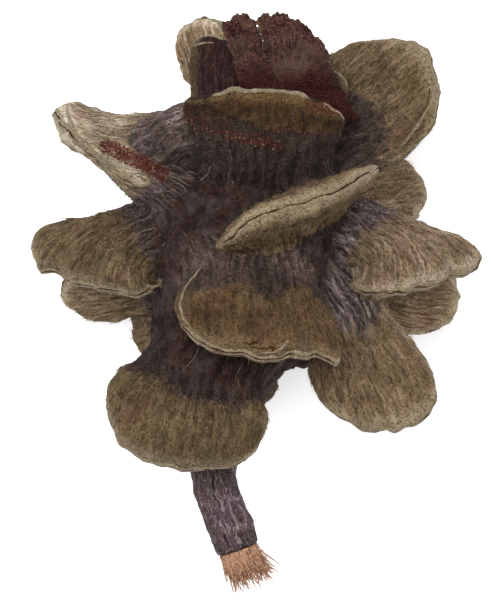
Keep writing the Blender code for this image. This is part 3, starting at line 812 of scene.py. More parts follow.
def skinMaterial():
    material, tree = newMaterial("feltedWood", 0.9, sheen=0.02, specular=0.08)
    outputs = feltIn(tree, 0.36, 4.2, 0.42, 0.75)
    fibres, threads, grain, specks, mottle, patches, height = (outputs[name] for name in feltOutputs)
    fibrous, crease, pale = (readFloat(tree, name) for name in ("fibrous", "crease", "pale"))
    fine = span(tree, grain, 0.38, 0.62)
    olive = layered(tree, blendColour(tree, fine, (50, 36, 22), (120, 99, 71)),
                    (mottle, 0.48, 0.36, 0.55, (70, 61, 30)),
                    (mottle, 0.52, 0.64, 0.45, (112, 90, 66)),
                    (patches, 0.52, 0.64, 0.6, (84, 56, 40)),
                    (patches, 0.47, 0.36, 0.5, (76, 66, 34)),
                    (fibres, 0.50, 0.68, span(tree, fibrous, 0.0, 1.0, 0.28, 0.85), (138, 119, 94)),
                    (fibres, 0.46, 0.32, span(tree, fibrous, 0.0, 1.0, 0.35, 0.6), (54, 40, 28)),
                    (specks, 0.60, 0.70, 0.45, (134, 118, 92)))
    dusk = layered(tree, blendColour(tree, fine, (33, 23, 21), (80, 66, 60)),
                   (mottle, 0.50, 0.64, 0.35, (84, 68, 60)),
                   (fibres, 0.50, 0.68, span(tree, pale, 0.0, 1.0, 0.1, 0.5), (96, 82, 79)),
                   (threads, 0.0, 1.0, pale, (142, 127, 121)))
    ridge = span(tree, readFloat(tree, "crest"), 0.45, 1.0)
    crest = maths(tree, "MAXIMUM", ridge, span(tree, crease, -0.2, -0.9))
    crest = times(tree, times(tree, crest, pale), span(tree, grain, 0.35, 0.55, 0.2, 0.75))
    dusk = blendColour(tree, crest, dusk, (132, 117, 108))
    vein = span(tree, maths(tree, "ABSOLUTE", maths(tree, "SUBTRACT", mottle, 0.5)), 0.05, 0.012)
    core = layered(tree, blendColour(tree, fine, (30, 18, 16), (66, 49, 44)),
                   (patches, 0.50, 0.60, span(tree, mottle, 0.42, 0.58, 0.35, 0.85), (72, 62, 60)),
                   (threads, 0.0, 1.0, 0.2, (88, 74, 71)),
                   (patches, 0.56, 0.44, times(tree, vein, 0.8), (52, 16, 12)),
                   (specks, 0.60, 0.70, 0.35, (112, 97, 84)))
    dusk = blendColour(tree, readFloat(tree, "core"), dusk, core)
    stalk = layered(tree, blendColour(tree, fine, (48, 36, 38), (90, 74, 74)),
                    (fibres, 0.46, 0.32, 1.0, (38, 27, 29)),
                    (threads, 0.0, 1.0, 0.65, (142, 127, 125)))
    dusk = blendColour(tree, readFloat(tree, "stalk"), dusk, stalk)
    ragged = maths(tree, "ADD", times(tree, mottle, 0.9), times(tree, grain, 0.4))
    ragged = maths(tree, "ADD", readFloat(tree, "olive"), maths(tree, "SUBTRACT", ragged, 0.65))
    colour = blendColour(tree, span(tree, ragged, 0.28, 0.68), dusk, olive)
    # painted highlight along the outlines, laid over the felt's own paler rim
    paleRimAndHighlight = times(tree, readFloat(tree, "edge"), span(tree, grain, 0.40, 0.56, 0.1, 0.75))
    colour = blendColour(tree, paleRimAndHighlight, colour, (146, 131, 104))
    inner = layered(tree, blendColour(tree, span(tree, fibres, 0.50, 0.68), (52, 32, 32), (86, 62, 58)),
                    (specks, 0.46, 0.38, 0.7, (48, 14, 14)))
    colour = blendColour(tree, readFloat(tree, "inner"), colour, inner)
    scar = layered(tree, blendColour(tree, span(tree, grain, 0.40, 0.60), (26, 9, 7), (78, 34, 25)),
                   (specks, 0.44, 0.36, 1.0, (120, 96, 74)))
    colour = blendColour(tree, span(tree, specks, 0.60, 0.48, 0.0, readFloat(tree, "scar")), colour, scar)
    # painted shade: hollow and creased places are darkened as if shadowed
    hollow = span(tree, readFloat(tree, "hollow"), 0.0, 0.9, 1.0, 0.4)
    shade = times(tree, span(tree, crease, 0.1, 0.9, 1.0, 0.6), hollow)
    scaled = add(tree, "ShaderNodeVectorMath", {0: toned(tree, colour), "Scale": shade}, operation="SCALE")
    return coated(material, scaled.outputs[0], height, 1.0, 0.00055)


def finishPiece(name, mesh, material, node, smooth=True):
    # one dressed piece: a plain mesh at the origin that rides the body and stands for its node
    piece = placed(name, mesh)
    points = pointsOf(mesh)
    points[:, 2] = np.maximum(points[:, 2], bodyShape["lowest"])
    setPoints(mesh, points)
    if smooth:
        mesh.shade_smooth()
    mesh.materials.clear()
    mesh.materials.append(material)
    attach(piece, "root")
    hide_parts(node)
    print(f"{name}: {trianglesOf(mesh)} triangles")
    return piece


def buildSkin():
    lofts = joinedLofts()
    mesh = throughModifier(lofts.data, "REMESH", mode="VOXEL", voxel_size=bodyShape["voxel"] * mm)
    print(f"skin grown: {len(mesh.vertices)} points")
    fillCreases(mesh)
    mesh = throughModifier(mesh, "NODES", carryTree(), {"Shells": lofts})
    bpy.data.objects.remove(lofts)
    dressSkin(mesh)
    mesh = throughModifier(mesh, "DECIMATE", ratio=bodyShape["mostFaces"] / trianglesOf(mesh))
    return finishPiece("cone_skin", mesh, skinMaterial(), "cone")


# Loose hairs of the felt, and the crumbs on its rough patches

hairs = {
    "most": 15500,  # on each half
    "thick": 0.042,
    "shortest": 0.7,
    "longest": 2.6,
    "stray": 0.30,
    "split": 33.0,  # height that parts the front half from the back half
}
crumbs = {
    "most": 1900,
    "smallest": 0.06,
    "largest": 0.21,
    "bareUnder": 0.25,  # patches weaker than this have none
}


def hairShape():
    # one hair of length 1 along Y, thickest near its foot, lying just over the surface
    points = [(0, -0.05, -0.8)]
    for x, y, radius, z in ((2.2, 0.3, 1.0, 0.2), (-1.4, 0.72, 0.8, 0.2)):
        points += [(x + radius * math.cos(a), y, z + radius * math.sin(a)) for a in (1.57, 3.67, 5.76)]
    points.append((1.0, 1.05, -1.0))
    faces = [(0, 1 + k, 1 + (k + 1) % 3) for k in range(3)]
    faces += [(1 + k, 4 + k, 4 + (k + 1) % 3, 1 + (k + 1) % 3) for k in range(3)]
    faces += [(4 + k, 7, 4 + (k + 1) % 3) for k in range(3)]
    mesh = bpy.data.meshes.new("hairShape")
    mesh.from_pydata(points, [], faces)
    return placed("hairShape", mesh)


def crumbShape():
    dice = np.random.default_rng(31)
    made = bmesh.new()
    bmesh.ops.create_icosphere(made, subdivisions=1, radius=1.0)
    for vertex in made.verts:
        vertex.co *= dice.uniform(0.65, 1.15)
    mesh = bpy.data.meshes.new("crumbShape")
    made.to_mesh(mesh)
    made.free()
    return placed("crumbShape", mesh)


def scatterTree(name, material, lying):
    # Geometry nodes: strews one small shape over a surface, as thickly as the surface's own value says
    tree, start = geometryTree(name, (("Shape", "Object"), ("Density", "Float", 1.0),
                                      ("Thick", "Float", 0.0001), ("Shortest", "Float", 0.001),
                                      ("Longest", "Float", 0.002), ("Stray", "Float", 0.4), ("Seed", "Int", 3)))
    density = times(tree, named(tree, "strewn", "FLOAT"), start["Density"])
    strewn = add(tree, "GeometryNodeDistributePointsOnFaces",
                 {"Mesh": start["Geometry"], "Density": density, "Seed": start["Seed"]}).outputs
    shade = add(tree, "FunctionNodeRandomValue", {"Seed": start["Seed"]}, data_type="FLOAT").outputs[1]
    spots = stored(tree, strewn["Points"], "shade", shade, "FLOAT")
    shape = add(tree, "GeometryNodeObjectInfo", {"Object": start["Shape"]}).outputs["Geometry"]
    long = add(tree, "FunctionNodeRandomValue", {2: start["Shortest"], 3: start["Longest"], "Seed": 7},
               data_type="FLOAT").outputs[1]
    if lying:
        turned = add(tree, "FunctionNodeAlignRotationToVector", {"Vector": strewn["Normal"]},
                     axis="Z").outputs[0]
        turned = add(tree, "FunctionNodeAlignRotationToVector",
                     {"Rotation": turned, "Vector": named(tree, "along", "FLOAT_VECTOR")},
                     axis="Y", pivot_axis="Z").outputs[0]
        low = add(tree, "ShaderNodeCombineXYZ", (-0.05, 0.0, times(tree, start["Stray"], -1.0))).outputs[0]
        high = add(tree, "ShaderNodeCombineXYZ", (0.03, 0.0, start["Stray"])).outputs[0]
        stray = add(tree, "FunctionNodeRandomValue", {0: low, 1: high, "Seed": 5}, data_type="FLOAT_VECTOR")
        twist = add(tree, "FunctionNodeEulerToRotation", (stray.outputs[0],)).outputs[0]
        turned = add(tree, "FunctionNodeRotateRotation", (turned, twist), rotation_space="LOCAL").outputs[0]
        size = add(tree, "ShaderNodeCombineXYZ", (start["Thick"], long, start["Thick"])).outputs[0]
    else:
        spin = add(tree, "FunctionNodeRandomValue", {0: (0, 0, 0), 1: (fullTurn,) * 3, "Seed": 5},
                   data_type="FLOAT_VECTOR")
        turned = add(tree, "FunctionNodeEulerToRotation", (spin.outputs[0],)).outputs[0]
        size = add(tree, "ShaderNodeCombineXYZ", (long, long, long)).outputs[0]
    strewn = add(tree, "GeometryNodeInstanceOnPoints",
                 {"Points": spots, "Instance": shape, "Rotation": turned, "Scale": size}).outputs[0]
    return solid(tree, strewn, material)


def strew(skin, name, amounts, most, shape, material, lying, sizes, seed):
    # a plain mesh of about most small shapes, strewn as the amounts at the skin's points say
    mesh = skin.data.copy()
    storeFloat(mesh, "strewn", amounts)
    mesh.calc_loop_triangles()
    corners = np.array([tuple(face.vertices) for face in mesh.loop_triangles])
    spots = pointsOf(mesh)[corners]
    areas = np.linalg.norm(np.cross(spots[:, 1] - spots[:, 0], spots[:, 2] - spots[:, 0]), axis=1) / 2
    expected = (areas * amounts[corners].mean(axis=1)).sum()
    values = {"Shape": shape, "Density": most / expected / mm ** 2, "Thick": hairs["thick"] * mm,
              "Shortest": sizes[0] * mm, "Longest": sizes[1] * mm, "Stray": hairs["stray"], "Seed": seed}
    return throughModifier(mesh, "NODES", scatterTree(name, material, lying), values)


def buildHairs(skin):
    amounts = floatsOf(skin.data, "hair")
    height = pointsOf(skin.data)[:, 2]
    shape, material = hairShape(), hairMaterial()
    sizes = (hairs["shortest"], hairs["longest"])
    for name, wanted, seed in (("felt_hairs_front", height > hairs["split"], 3),
                               ("felt_hairs_back", height <= hairs["split"], 4)):
        mesh = strew(skin, name, amounts * wanted, hairs["most"], shape, material, True, sizes, seed)
        finishPiece(name, mesh, material, "cone")
    bpy.data.objects.remove(shape)
    shape, material = crumbShape(), crumbMaterial()
    sizes = (crumbs["smallest"], crumbs["largest"])
    rough = np.clip(floatsOf(skin.data, "scar") - crumbs["bareUnder"], 0, 1)
    mesh = strew(skin, "scarCrumbs", rough, crumbs["most"], shape, material, False, sizes, 6)
    finishPiece("scar_crumbs", mesh, material, "cone", smooth=False)
    bpy.data.objects.remove(shape)


def hairMaterial():
    material, tree = newMaterial("feltHair", 0.9, specular=0.08)
    shade = readFloat(tree, "shade")
    olive = blendColour(tree, shade, (44, 32, 20), (150, 128, 98))
    dusk = blendColour(tree, shade, (38, 27, 25), (92, 77, 71))
    core = blendColour(tree, shade, (24, 15, 14), (76, 60, 56))
    colour = blendColour(tree, readFloat(tree, "core"), dusk, core)
    colour = blendColour(tree, readFloat(tree, "olive"), colour, olive)
    colour = blendColour(tree, times(tree, readFloat(tree, "inner"), 0.85), colour, (52, 26, 26))
    return coated(material, toned(tree, colour), objectGrain(tree, 4000.0), 0.5, 0.0001)


def crumbMaterial():
    material, tree = newMaterial("scarCrumb", 0.8, specular=0.25)
    shade = readFloat(tree, "shade")
    colour = layered(tree, blendColour(tree, span(tree, shade, 0.0, 0.72), (22, 7, 6), (96, 42, 30)),
                     (shade, 0.84, 0.97, 1.0, (132, 106, 84)))
    return coated(material, colour, objectGrain(tree, 5000.0), 0.6, 0.0001)


# Pale strands that lie along the necks, from the core up into the flange

strands = {
    "perNeck": 110,
    "start": (0.08, 0.34),  # both as shares of the follicle's length
    "reach": (0.14, 0.34),
    "radius": (0.04, 0.11),
    "step": 0.35,
    "points": 30,
    "closest": 1.3,  # a strand ends where its line runs deeper under the skin than this
    "fewest": 19,  # a strand with fewer points left than this is dropped
    "widest": 1.6,  # and so is one with a gap wider than this
    "plain": ("valve_front", "valve_back", "front_upper", "front_lower", "low_left"),  # few strands
}


def buildStrands(surface):
    lines = []
    steps = np.arange(strands["points"])
    for number, name in enumerate(follicleOrder):
        dice = np.random.default_rng(300 + number)
        amount = strands["perNeck"] // (6 if name in strands["plain"] else 1)
        for _ in range(amount):
            start = dice.uniform(*strands["start"])
            reach = dice.uniform(*strands["reach"])
            turn = dice.uniform(0, 2 * math.pi)
            shares = np.linspace(start, start + reach, len(steps))
            sway = noiseRow(shares, 0.08, dice.uniform(0, 40)) * 0.10
            sway = sway + (shares - start) * dice.uniform(-0.9, 0.9)
            path = loftFollicle(name, shares, turn + sway)[0][steps, steps]
            nearest = [surface.find_nearest(Vector(point)) for point in path]
            near = np.array([spot[3] < strands["closest"] for spot in nearest])
            if near.sum() < strands["fewest"]:
                continue
            path = np.array([np.array(spot[0] - spot[1] * 0.03) for spot in nearest])[near]
            run = runAlong(path)
            if np.diff(run).max() > strands["widest"]:
                continue
            count = max(6, int(run[-1] / strands["step"]))
            spots = np.linspace(0, run[-1], count)
            path = laidOn(surface, readAlong(path, run, spots), 0.04)
            ends = np.clip(np.sin(np.linspace(0.1, 3.04, count)) * 1.5, 0.25, 1)
            size = dice.uniform(*strands["radius"]) * ends
            lines.append((path, size * (1 + 0.5 * noiseRow(spots, 0.9, number))))
    pale = strandMaterial()
    print(f"{len(lines)} strands")
    finishPiece("neck_strands", sweep("strandSweep", lines, pale, 5), pale, "cone")


def strandMaterial():
    material, tree = newMaterial("paleStrand", 0.9, specular=0.08)
    outputs = feltIn(tree, 0.5, 1.2, 0.35)
    place = add(tree, "ShaderNodeSeparateXYZ", (readVector(tree, "flow"),)).outputs["X"]
    dull = add(tree, "ShaderNodeTexWhiteNoise", {"W": place}, noise_dimensions="1D").outputs["Value"]
    shade = times(tree, span(tree, outputs["Grain"], 0.36, 0.60), span(tree, dull, 0.0, 1.0, 0.3, 1.0))
    colour = blendColour(tree, shade, (66, 53, 49), (142, 127, 117))
    return coated(material, colour, outputs["Height"], 0.6, 0.0002)


# Lips: two pale beads along the mouth of each closed follicle and the dark line between them

lips = {
    "radius": 0.40,
    "apart": 0.50,
    "sutureRadius": 0.14,
    "step": 0.28,
    "sunk": 0.20,
    "sides": 8,
    "above": 90,  # drawn lines drop onto the skin from this height
    "jump": 1.2,  # and end where the skin steps by more than this, to stay on one follicle
    "openRims": (  # follicle, start and end round its mouth as shares of a half turn, and the bead's radius
        ("valve_front", 0.32, 0.73, 0.34), ("valve_front", 0.02, 0.24, 0.16),
        ("valve_back", 0.70, 0.985, 0.24), ("valve_back", 0.01, 0.30, 0.20),
    ),
    "drawn": (  # pale or dark, half width, and the line seen from above
        ("pale", 0.52, ((-30.9, 32.2), (-30.6, 30.4), (-30.0, 28.6), (-28.6, 26.6), (-26.6, 24.7),
                        (-24.6, 23.0), (-22.8, 21.0), (-21.4, 18.8))),
        ("dark", 0.20, ((-29.8, 27.0), (-28.4, 25.4), (-26.2, 23.7), (-23.8, 21.9))),
        ("pale", 0.26, ((-30.0, 32.4), (-27.0, 31.3), (-22.5, 30.6))),
        ("pale", 0.18, ((-11.1, 40.9), (-9.9, 42.0), (-8.3, 42.4), (-6.7, 42.2))),
        ("pale", 0.24, ((28.4, 38.2), (29.0, 35.4), (28.3, 32.6), (26.6, 29.6), (24.2, 26.4), (22.6, 24.6))),
        ("dark", 0.12, ((27.6, 36.6), (28.2, 34.4), (27.5, 31.8), (25.8, 29.2))),
        ("pale", 0.24, ((-8.7, 6.2), (-10.4, 4.0), (-11.8, 1.8), (-12.3, -0.4), (-11.8, -2.3),
                        (-10.4, -3.9))),
        ("pale", 0.26, ((0.8, -7.9), (2.9, -7.7), (4.4, -6.8), (5.3, -5.4))),
        ("dark", 0.16, ((0.6, -7.2), (2.7, -7.0), (4.0, -6.2), (4.9, -5.2))),
        ("dark", 0.34, ((-2.2, -6.2), (-0.9, -6.5), (0.6, -6.0))),
    ),
    "cracks": (  # across, up, size, and the ways that the cracks run
        (11.2, 17.4, 1.0, (0.3, 1.5, 2.6, 3.6, 4.7, 5.6)), (3.2, 15.3, 0.6, (0.2, 2.9, 1.4, 4.4)),
        (2.6, -7.4, 1.1, (0.4, 2.2, 4.0)), (0.9, -7.2, 0.9, (0.0, 3.0)),
    ),
}


def rimLine(name, start=0.03, end=0.97):
    # the mouth's line at the very end of a follicle, from one corner to the other, how long it is,
    # how far along each of its points is as a share, and the way across the two valves
    def between(count):
        return loftFollicle(name, np.array([1.0]), np.linspace(start * math.pi, end * math.pi, count))

    length = np.linalg.norm(np.diff(between(60)[0][0], axis=0), axis=1).sum()
    count = int(length / lips["step"])
    points, lift = between(count)
    return points[0], length, np.linspace(0, 1, count), np.broadcast_to(lift[0], points[0].shape)


def sweepTree(name, material):
    # Geometry nodes: sweeps a round bead along lines, as thick as the lines' own thick value says
    tree, start = geometryTree(name, (("Sides", "Int", lips["sides"]),))
    curve = add(tree, "GeometryNodeMeshToCurve", (start["Geometry"],)).outputs[0]
    circle = {"Resolution": start["Sides"], "Radius": 1.0}
    circle = add(tree, "GeometryNodeCurvePrimitiveCircle", circle).outputs[0]
    thick = named(tree, "thick", "FLOAT")
    bead = add(tree, "GeometryNodeCurveToMesh",
               {"Curve": curve, "Profile Curve": circle, "Scale": thick, "Fill Caps": True})
    return solid(tree, bead.outputs[0], material)


def sweep(name, lines, material, around=lips["sides"]):
    # lines: (points, thicknesses) in millimetres, with one closed bead round each
    points, edges, thick, flow = [], [], [], []
    for number, (path, sizes) in enumerate(lines):
        first = len(points)
        points.extend((np.array(path) * mm).tolist())
        thick.extend((np.array(sizes) * mm).tolist())
        edges.extend((first + i, first + i + 1) for i in range(len(path) - 1))
        flow.extend((number * 5.3, r, 0.0) for r in runAlong(path))
    mesh = bpy.data.meshes.new(name)
    mesh.from_pydata(points, edges, [])
    storeFloat(mesh, "thick", thick)
    storeVector(mesh, "flow", flow)
    return throughModifier(mesh, "NODES", sweepTree(name, material), {"Sides": around})


def skinTree(skin):
    mesh = skin.data
    faces = [tuple(face.vertices) for face in mesh.polygons]
    return BVHTree.FromPolygons([vertex.co / mm for vertex in mesh.vertices], faces)


def laidOn(surface, points, sunk):
    # a line drawn onto the skin, its middle just under the surface
    laid = []
    for point in points:
        spot, normal, _, _ = surface.find_nearest(Vector(point))
        laid.append(np.array(spot - normal * sunk))
    return smoothed(np.array(laid), 2)


def fromAbove(surface, spots):
    # where the skin lies under places seen from above; None where there is none
    down = Vector((0, 0, -1))
    hits = [surface.ray_cast(Vector((spot[0], spot[1], lips["above"])), down)[0] for spot in spots]
    return [None if hit is None else np.array(hit) for hit in hits]


def lipMaterial():
    material, tree = newMaterial("paleLip", 0.8, sheen=0.15, specular=0.25)
    outputs = feltIn(tree, 0.8, 2.4, 0.32)
    pale = blendColour(tree, span(tree, outputs["Grain"], 0.40, 0.62), (84, 68, 46), (142, 127, 100))
    pale = layered(tree, pale, (outputs["Specks"], 0.60, 0.70, 1.0, (166, 152, 128)))
    return coated(material, pale, outputs["Height"], 0.7, 0.0002)


def sutureMaterial():
    material, tree = newMaterial("sutureLine", 0.9, specular=0.1)
    outputs = feltIn(tree, 0.5, 0.8, 0.3)
    dark = blendColour(tree, span(tree, outputs["Grain"], 0.4, 0.6), (30, 15, 6), (78, 48, 22))
    return coated(material, dark, outputs["Height"], 0.6, 0.0002)


def layMouths(surface, beads, seams):
    for number, name in enumerate(follicleOrder):
        if name.startswith("valve"):
            continue
        middle, length, run, lift = rimLine(name)
        far = run * length
        ends = np.clip(np.minimum(run, 1 - run) * 14, 0.15, 1)
        wander = noiseRow(far, 3.1, number + 5) * 0.55 + noiseRow(far, 1.1, number + 6) * 0.22
        wander = lift * wander[:, None]
        for way in (-1, 1):
            lumps = noiseRow(far, 2.6, number + way * 0.3) * 0.55 + noiseRow(far, 0.8, number + 9) * 0.35
            beside = wander + lift * way * (lips["apart"] + 0.12 * lumps[:, None])
            path = laidOn(surface, middle + beside, lips["sunk"])
            beads.append((path, lips["radius"] * ends * (1 + lumps)))
        thin = np.clip(1 + 0.8 * noiseRow(far, 1.7, number + 21), 0.3, 2)
        path = laidOn(surface, middle + wander, 0.02)
        seams.append((path, lips["sutureRadius"] * np.clip(ends, 0.4, 1) * thin))
    for name, start, end, radius in lips["openRims"]:
        middle, length, run, _ = rimLine(name, start, end)
        far = run * length
        lumps = noiseRow(far, 2.4, start * 40) * 0.35 + noiseRow(far, 0.9, start * 60) * 0.25
        ends = np.clip(np.minimum(run, 1 - run) * 18, 0.3, 1)
        beads.append((laidOn(surface, middle, 0.0), radius * ends * (1 + lumps)))


def layCracks(surface, seams):
    for across, up, size, turns in lips["cracks"]:
        for turn in turns:
            reach = np.linspace(0, 1, 6)[:, None] * size
            flat = np.array((across, up)) + reach * np.array((math.cos(turn), math.sin(turn)))
            path = fromAbove(surface, flat)
            if not any(spot is None for spot in path):
                seams.append((path, lips["sutureRadius"] * np.linspace(1.2, 0.35, 6)))


def layDrawn(surface, beads, seams):
    for kind, radius, corners in lips["drawn"]:
        corners = np.array(corners)
        run = runAlong(corners)
        spots = np.linspace(0, run[-1], max(6, int(run[-1] / lips["step"])))
        flat = readAlong(corners, run, spots)
        flat = flat + 0.16 * np.stack([noiseRow(spots, 1.2, radius * 9 + k) for k in (0, 4)], axis=1)
        path = np.array([hit for hit in fromAbove(surface, flat) if hit is not None])
        jumps = np.flatnonzero(np.abs(np.diff(path[:, 2])) > lips["jump"]) + 1
        path = max(np.split(path, jumps), key=len)
        if len(path) < len(spots):
            print(f"a drawn line at {corners[0]} is cut to {len(path)} of {len(spots)} places")
        path = smoothed(path, 3)
        size = radius * np.clip(np.sin(np.linspace(0.12, 3.02, len(path))) * 1.6, 0.3, 1)
        size = size * (1 + 0.5 * noiseRow(spots[:len(path)], 1.1, radius * 7))
        lines, sunk = (beads, 0.3) if kind == "pale" else (seams, 0.7)
        lines.append((path - (0, 0, sunk * radius), size))


def buildLips(surface):
    beads, seams = [], []
    layMouths(surface, beads, seams)
    layCracks(surface, seams)
    layDrawn(surface, beads, seams)
    pale, dark = lipMaterial(), sutureMaterial()
    finishPiece("follicle_lips", sweep("lipSweep", beads, pale), pale, "cone")
    finishPiece("follicle_sutures", sweep("sutureSweep", seams, dark), dark, "cone")


# Seed separator: a papery fan with a ragged edge, a crack and the marks of two seeds

separator = {
    "foot": (4.0, 29.5, 48.5),
    "top": (2.95, 46.68, 53.5),
    "left": (-6.2, -6.3, -6.6, -7.6, -8.6),  # its edges, from the foot to the top
    "right": (12.4, 10.8, 9.0, 8.2, 7.6),
    "thick": 0.8,
    "columns": 170,
    "rows": 100,
    "rag": 0.42,
    "leftShoulder": 0.9,
    "rightShoulder": 5.0,
    "crack": (0.31, 0.34, 0.36, 0.335, 0.33),
    "crackDepth": 0.42,
    "notch": (1.3, 0.045),  # depth and half width, where the crack opens
    "teeth": ((11, 0.35), (29, 0.5), (61, 0.45), (127, 0.3)),  # how many along the top edge, and how high
    "marks": ((-5.4, 8.6, 6.6), (1.6, 5.4, 10.8)),  # across, up and reach of the print that each seed left
}


def buildSeparator():
    foot, top = np.array(separator["foot"]), np.array(separator["top"])
    rise = top - foot
    height = np.linalg.norm(rise)
    up = rise / height
    across = np.array((1.0, -0.05, 0.05))
    across = unit(across - up * (across @ up))
    front = unit(np.cross(across, up))
    columns, rows = separator["columns"], separator["rows"]
    place = np.linspace(0, 1, columns + 1)
    side = place * 2 - 1
    dice = np.random.default_rng(4)
    rag = sum(np.sin(place * k + dice.uniform(0, fullTurn)) * size for k, size in separator["teeth"])
    depth, width = separator["notch"]
    notch = depth * np.exp(-((place - separator["crack"][-1]) / width) ** 2)
    fall = np.where(side > 0, separator["rightShoulder"] * np.abs(side) ** 1.7,
                    separator["leftShoulder"] * np.abs(side) ** 3)
    tops = height - fall + rag * separator["rag"] - notch
    share = np.linspace(0, 1, rows + 1)
    jag = noiseRow(share * 20, 1.0, 3.0) * 0.35
    left = rowValue(separator["left"], share) + jag
    right = rowValue(separator["right"], share) + jag[::-1]
    x = left[None, :] * (1 - place[:, None]) + right[None, :] * place[:, None]
    y = share[None, :] * tops[:, None]
    flat = np.stack([x.ravel() / 3.2, y.ravel() / 3.2, np.full(x.size, 2.0)], axis=1)
    bow = 1.2 * (side[:, None] ** 2 - 0.4) * share[None, :] + noiseAt(flat).reshape(x.shape) * 0.7
    bow = bow + noiseAt(flat * (4.0, 1.2, 1.0)).reshape(x.shape) * 0.16
    mark = np.zeros(x.shape)
    rays = np.zeros(x.shape)
    for centreX, centreY, reach in separator["marks"]:
        away = np.hypot(x - centreX, y - centreY) / reach
        inside = (1 - ease(0.82, 1.0, away)) * ease(0.25, 0.6, away) * ease(centreY - 1, centreY + 3, y)
        rays = np.where(inside > mark, np.arctan2(y - centreY, x - centreX) * 9.0, rays)
        mark = np.maximum(mark, inside)
        bow = bow - 0.3 * inside * (1 - away ** 2) + 0.10 * np.sin(rays * 2.7) * inside
    points = foot + across * x[..., None] + up * y[..., None] + front * bow[..., None]
    crackLine = rowValue(separator["crack"], share) + 0.006 * np.sin(share * 90)
    open = np.zeros((columns, rows), bool)
    for j in range(rows):
        if share[j] > 1 - separator["crackDepth"]:
            width = 1 + int(2.6 * (share[j] - 1 + separator["crackDepth"]) / separator["crackDepth"])
            i = int(crackLine[j] * columns)
            open[i:i + width, j] = True
    index = np.arange((columns + 1) * (rows + 1)).reshape(columns + 1, rows + 1)
    faces = [(index[i, j], index[i + 1, j], index[i + 1, j + 1], index[i, j + 1])
             for i in range(columns) for j in range(rows) if not open[i, j]]
    mesh = bpy.data.meshes.new("separator")
    mesh.from_pydata((points.reshape(-1, 3) * mm).tolist(), [], faces)
    storeFloat(mesh, "mark", mark.ravel())
    storeFloat(mesh, "depth", np.broadcast_to(y, mark.shape).ravel() / height)
    storeFloat(mesh, "side", np.broadcast_to(side[:, None], mark.shape).ravel())
    storeVector(mesh, "flow", np.stack([np.where(mark > 0.05, rays, x), y, (mark > 0.05) * 3.0], axis=-1))
    mesh = throughModifier(mesh, "SOLIDIFY", thickness=separator["thick"] * mm, offset=0.0)
    finishPiece("separator_fan", mesh, separatorMaterial(), "seed_separator")


def separatorMaterial():
    material, tree = newMaterial("separatorPaper", 0.8, specular=0.12)
    outputs = feltIn(tree, 0.30, 3.0, 0.42, 0.7)
    fibres, _, grain, specks, mottle, patches, height = (outputs[name] for name in feltOutputs)
    plum = layered(tree, blendColour(tree, span(tree, grain, 0.42, 0.60), (30, 13, 12), (98, 64, 58)),
                   (patches, 0.50, 0.60, 0.7, (90, 70, 56)),
                   (mottle, 0.46, 0.34, 0.6, (40, 16, 15)))
    taupe = blendColour(tree, span(tree, fibres, 0.50, 0.64), (56, 38, 34), (118, 95, 82))
    colour = blendColour(tree, times(tree, readFloat(tree, "mark"), 0.32), plum, taupe)
    high = maths(tree, "ADD", readFloat(tree, "depth"), times(tree, patches, 0.3))
    wine = layered(tree, blendColour(tree, span(tree, specks, 0.44, 0.58), (27, 4, 4), (66, 31, 27)),
                   (specks, 0.62, 0.72, 0.3, (104, 76, 68)))
    colour = layered(tree, blendColour(tree, span(tree, high, 0.70, 0.52), colour, wine),
                     (grain, 0.60, 0.70, span(tree, high, 0.8, 0.6, 0.0, 0.7), (92, 40, 22)))
    return coated(material, colour, height, 0.9, 0.0004)


# Torn wood at the foot of the stalk: a frayed plug and loose fibres

torn = {
    "radius": 3.2,
    "length": 3.8,
    "fibres": 560,
    "fibreLength": (1.0, 4.4),
    "fibreRadius": 0.10,
    "taper": (1, 1, 0.85, 0.6, 0.2),
    "gap": 0.06,  # between the end of the bark and the plug
    "rings": 36,
    "around": 72,
    "bevel": 0.78,  # share of the plug's rings where its end face begins
    "turn": 2.39996,  # from one fibre to the next, so that they spread evenly
    "lowestY": -47.35,
}


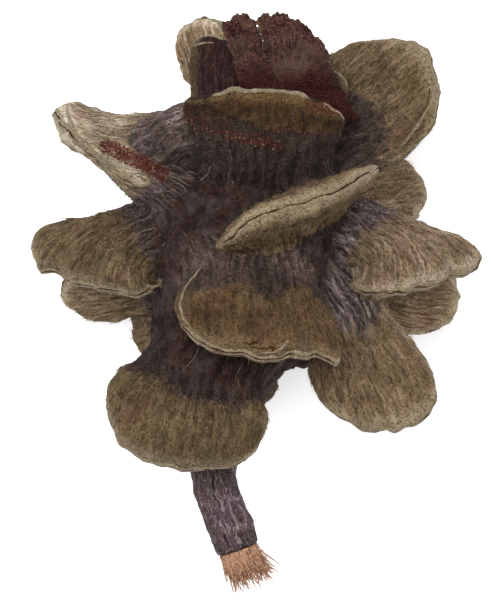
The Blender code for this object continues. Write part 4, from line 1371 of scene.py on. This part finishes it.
def buildTornWood():
    line = np.array(bodyShape["stalkLine"])
    ahead = unit(line[-1] - line[-2])
    right, other = besides(ahead)
    start = line[-1] + ahead * torn["gap"]
    rings, around, bevel = torn["rings"], torn["around"], torn["bevel"]
    dice = np.random.default_rng(12)
    angles = np.linspace(0, 2 * math.pi, around, endpoint=False)
    frayed = 0.5 * np.sin(angles * 3 + 1) + 0.4 * np.sin(angles * 8 + 2) + dice.uniform(-0.35, 0.35, around)
    spokes = right * np.cos(angles)[:, None] + other * np.sin(angles)[:, None]
    points, flow = [], []
    for k in range(rings):
        share = k / (rings - 1)
        edge = min(1.0, share / bevel)
        inward = max(0.0, (share - bevel) / (1 - bevel))
        radius = torn["radius"] * (1 - 0.18 * edge ** 3) * (1 - inward ** 1.2 * 0.97)
        grooves = 0.10 * np.sin(angles * 19 + 3 * share) + 0.08 * np.sin(angles * 33)
        out = radius + grooves * (1 - inward)
        reach = edge * torn["length"] + frayed * edge ** 3 * 0.5 * (1 - 0.7 * inward)
        reach = reach + dice.uniform(-0.16, 0.16, around) * (share > 0.5)
        points.append(start + ahead * reach[:, None] + spokes * out[:, None])
        flow.append(np.stack([angles * 3, np.full(around, k * 0.12), np.zeros(around)], axis=1))
    mesh = bpy.data.meshes.new("tornPlug")
    mesh.from_pydata((np.concatenate(points) * mm).tolist(), [], tubeFaces(rings, around))
    storeVector(mesh, "flow", np.concatenate(flow))
    wood = woodMaterial()
    finishPiece("torn_plug", mesh, wood, "torn_wood")
    lines = []
    shares = np.linspace(0, 1, 5)[:, None]
    for k in range(torn["fibres"]):
        share = math.sqrt((k + 0.5) / torn["fibres"])
        out = right * math.cos(k * torn["turn"]) + other * math.sin(k * torn["turn"])
        foot = start + ahead * torn["length"] * dice.uniform(0.05, 0.85)
        foot = foot + out * torn["radius"] * share * 0.97
        length = dice.uniform(*torn["fibreLength"]) * (1.0 if share > 0.5 else 0.7)
        lean = out * dice.uniform(-0.1, 0.5) + right * dice.uniform(-0.55, 0.05)
        lean = lean + other * dice.uniform(-0.25, 0.25)
        bend = np.array([dice.uniform(-0.5, 0.5) for _ in range(3)])
        path = foot + ahead * length * shares + lean * length * shares * 0.8
        path = path + bend * shares ** 2 * length * 0.4
        path[:, 1] = np.maximum(path[:, 1], torn["lowestY"])
        lines.append((path, torn["fibreRadius"] * dice.uniform(0.5, 1.5) * np.array(torn["taper"])))
    finishPiece("torn_fibres", sweep("fibreSweep", lines, wood), wood, "torn_wood")


def woodMaterial():
    material, tree = newMaterial("tornFibre", 0.75, sheen=0.1, specular=0.3)
    outputs = feltIn(tree, 0.3, 1.5, 0.5)
    colour = blendColour(tree, span(tree, outputs["Grain"], 0.36, 0.62), (122, 76, 48), (188, 148, 118))
    colour = layered(tree, colour, (outputs["Fibres"], 0.45, 0.32, 1.0, (88, 46, 26)))
    return coated(material, colour, outputs["Height"], 0.8, 0.0003)


buildStudio()
skin = buildSkin()
buildHairs(skin)
surface = skinTree(skin)
buildStrands(surface)
buildLips(surface)
buildSeparator()
buildTornWood()
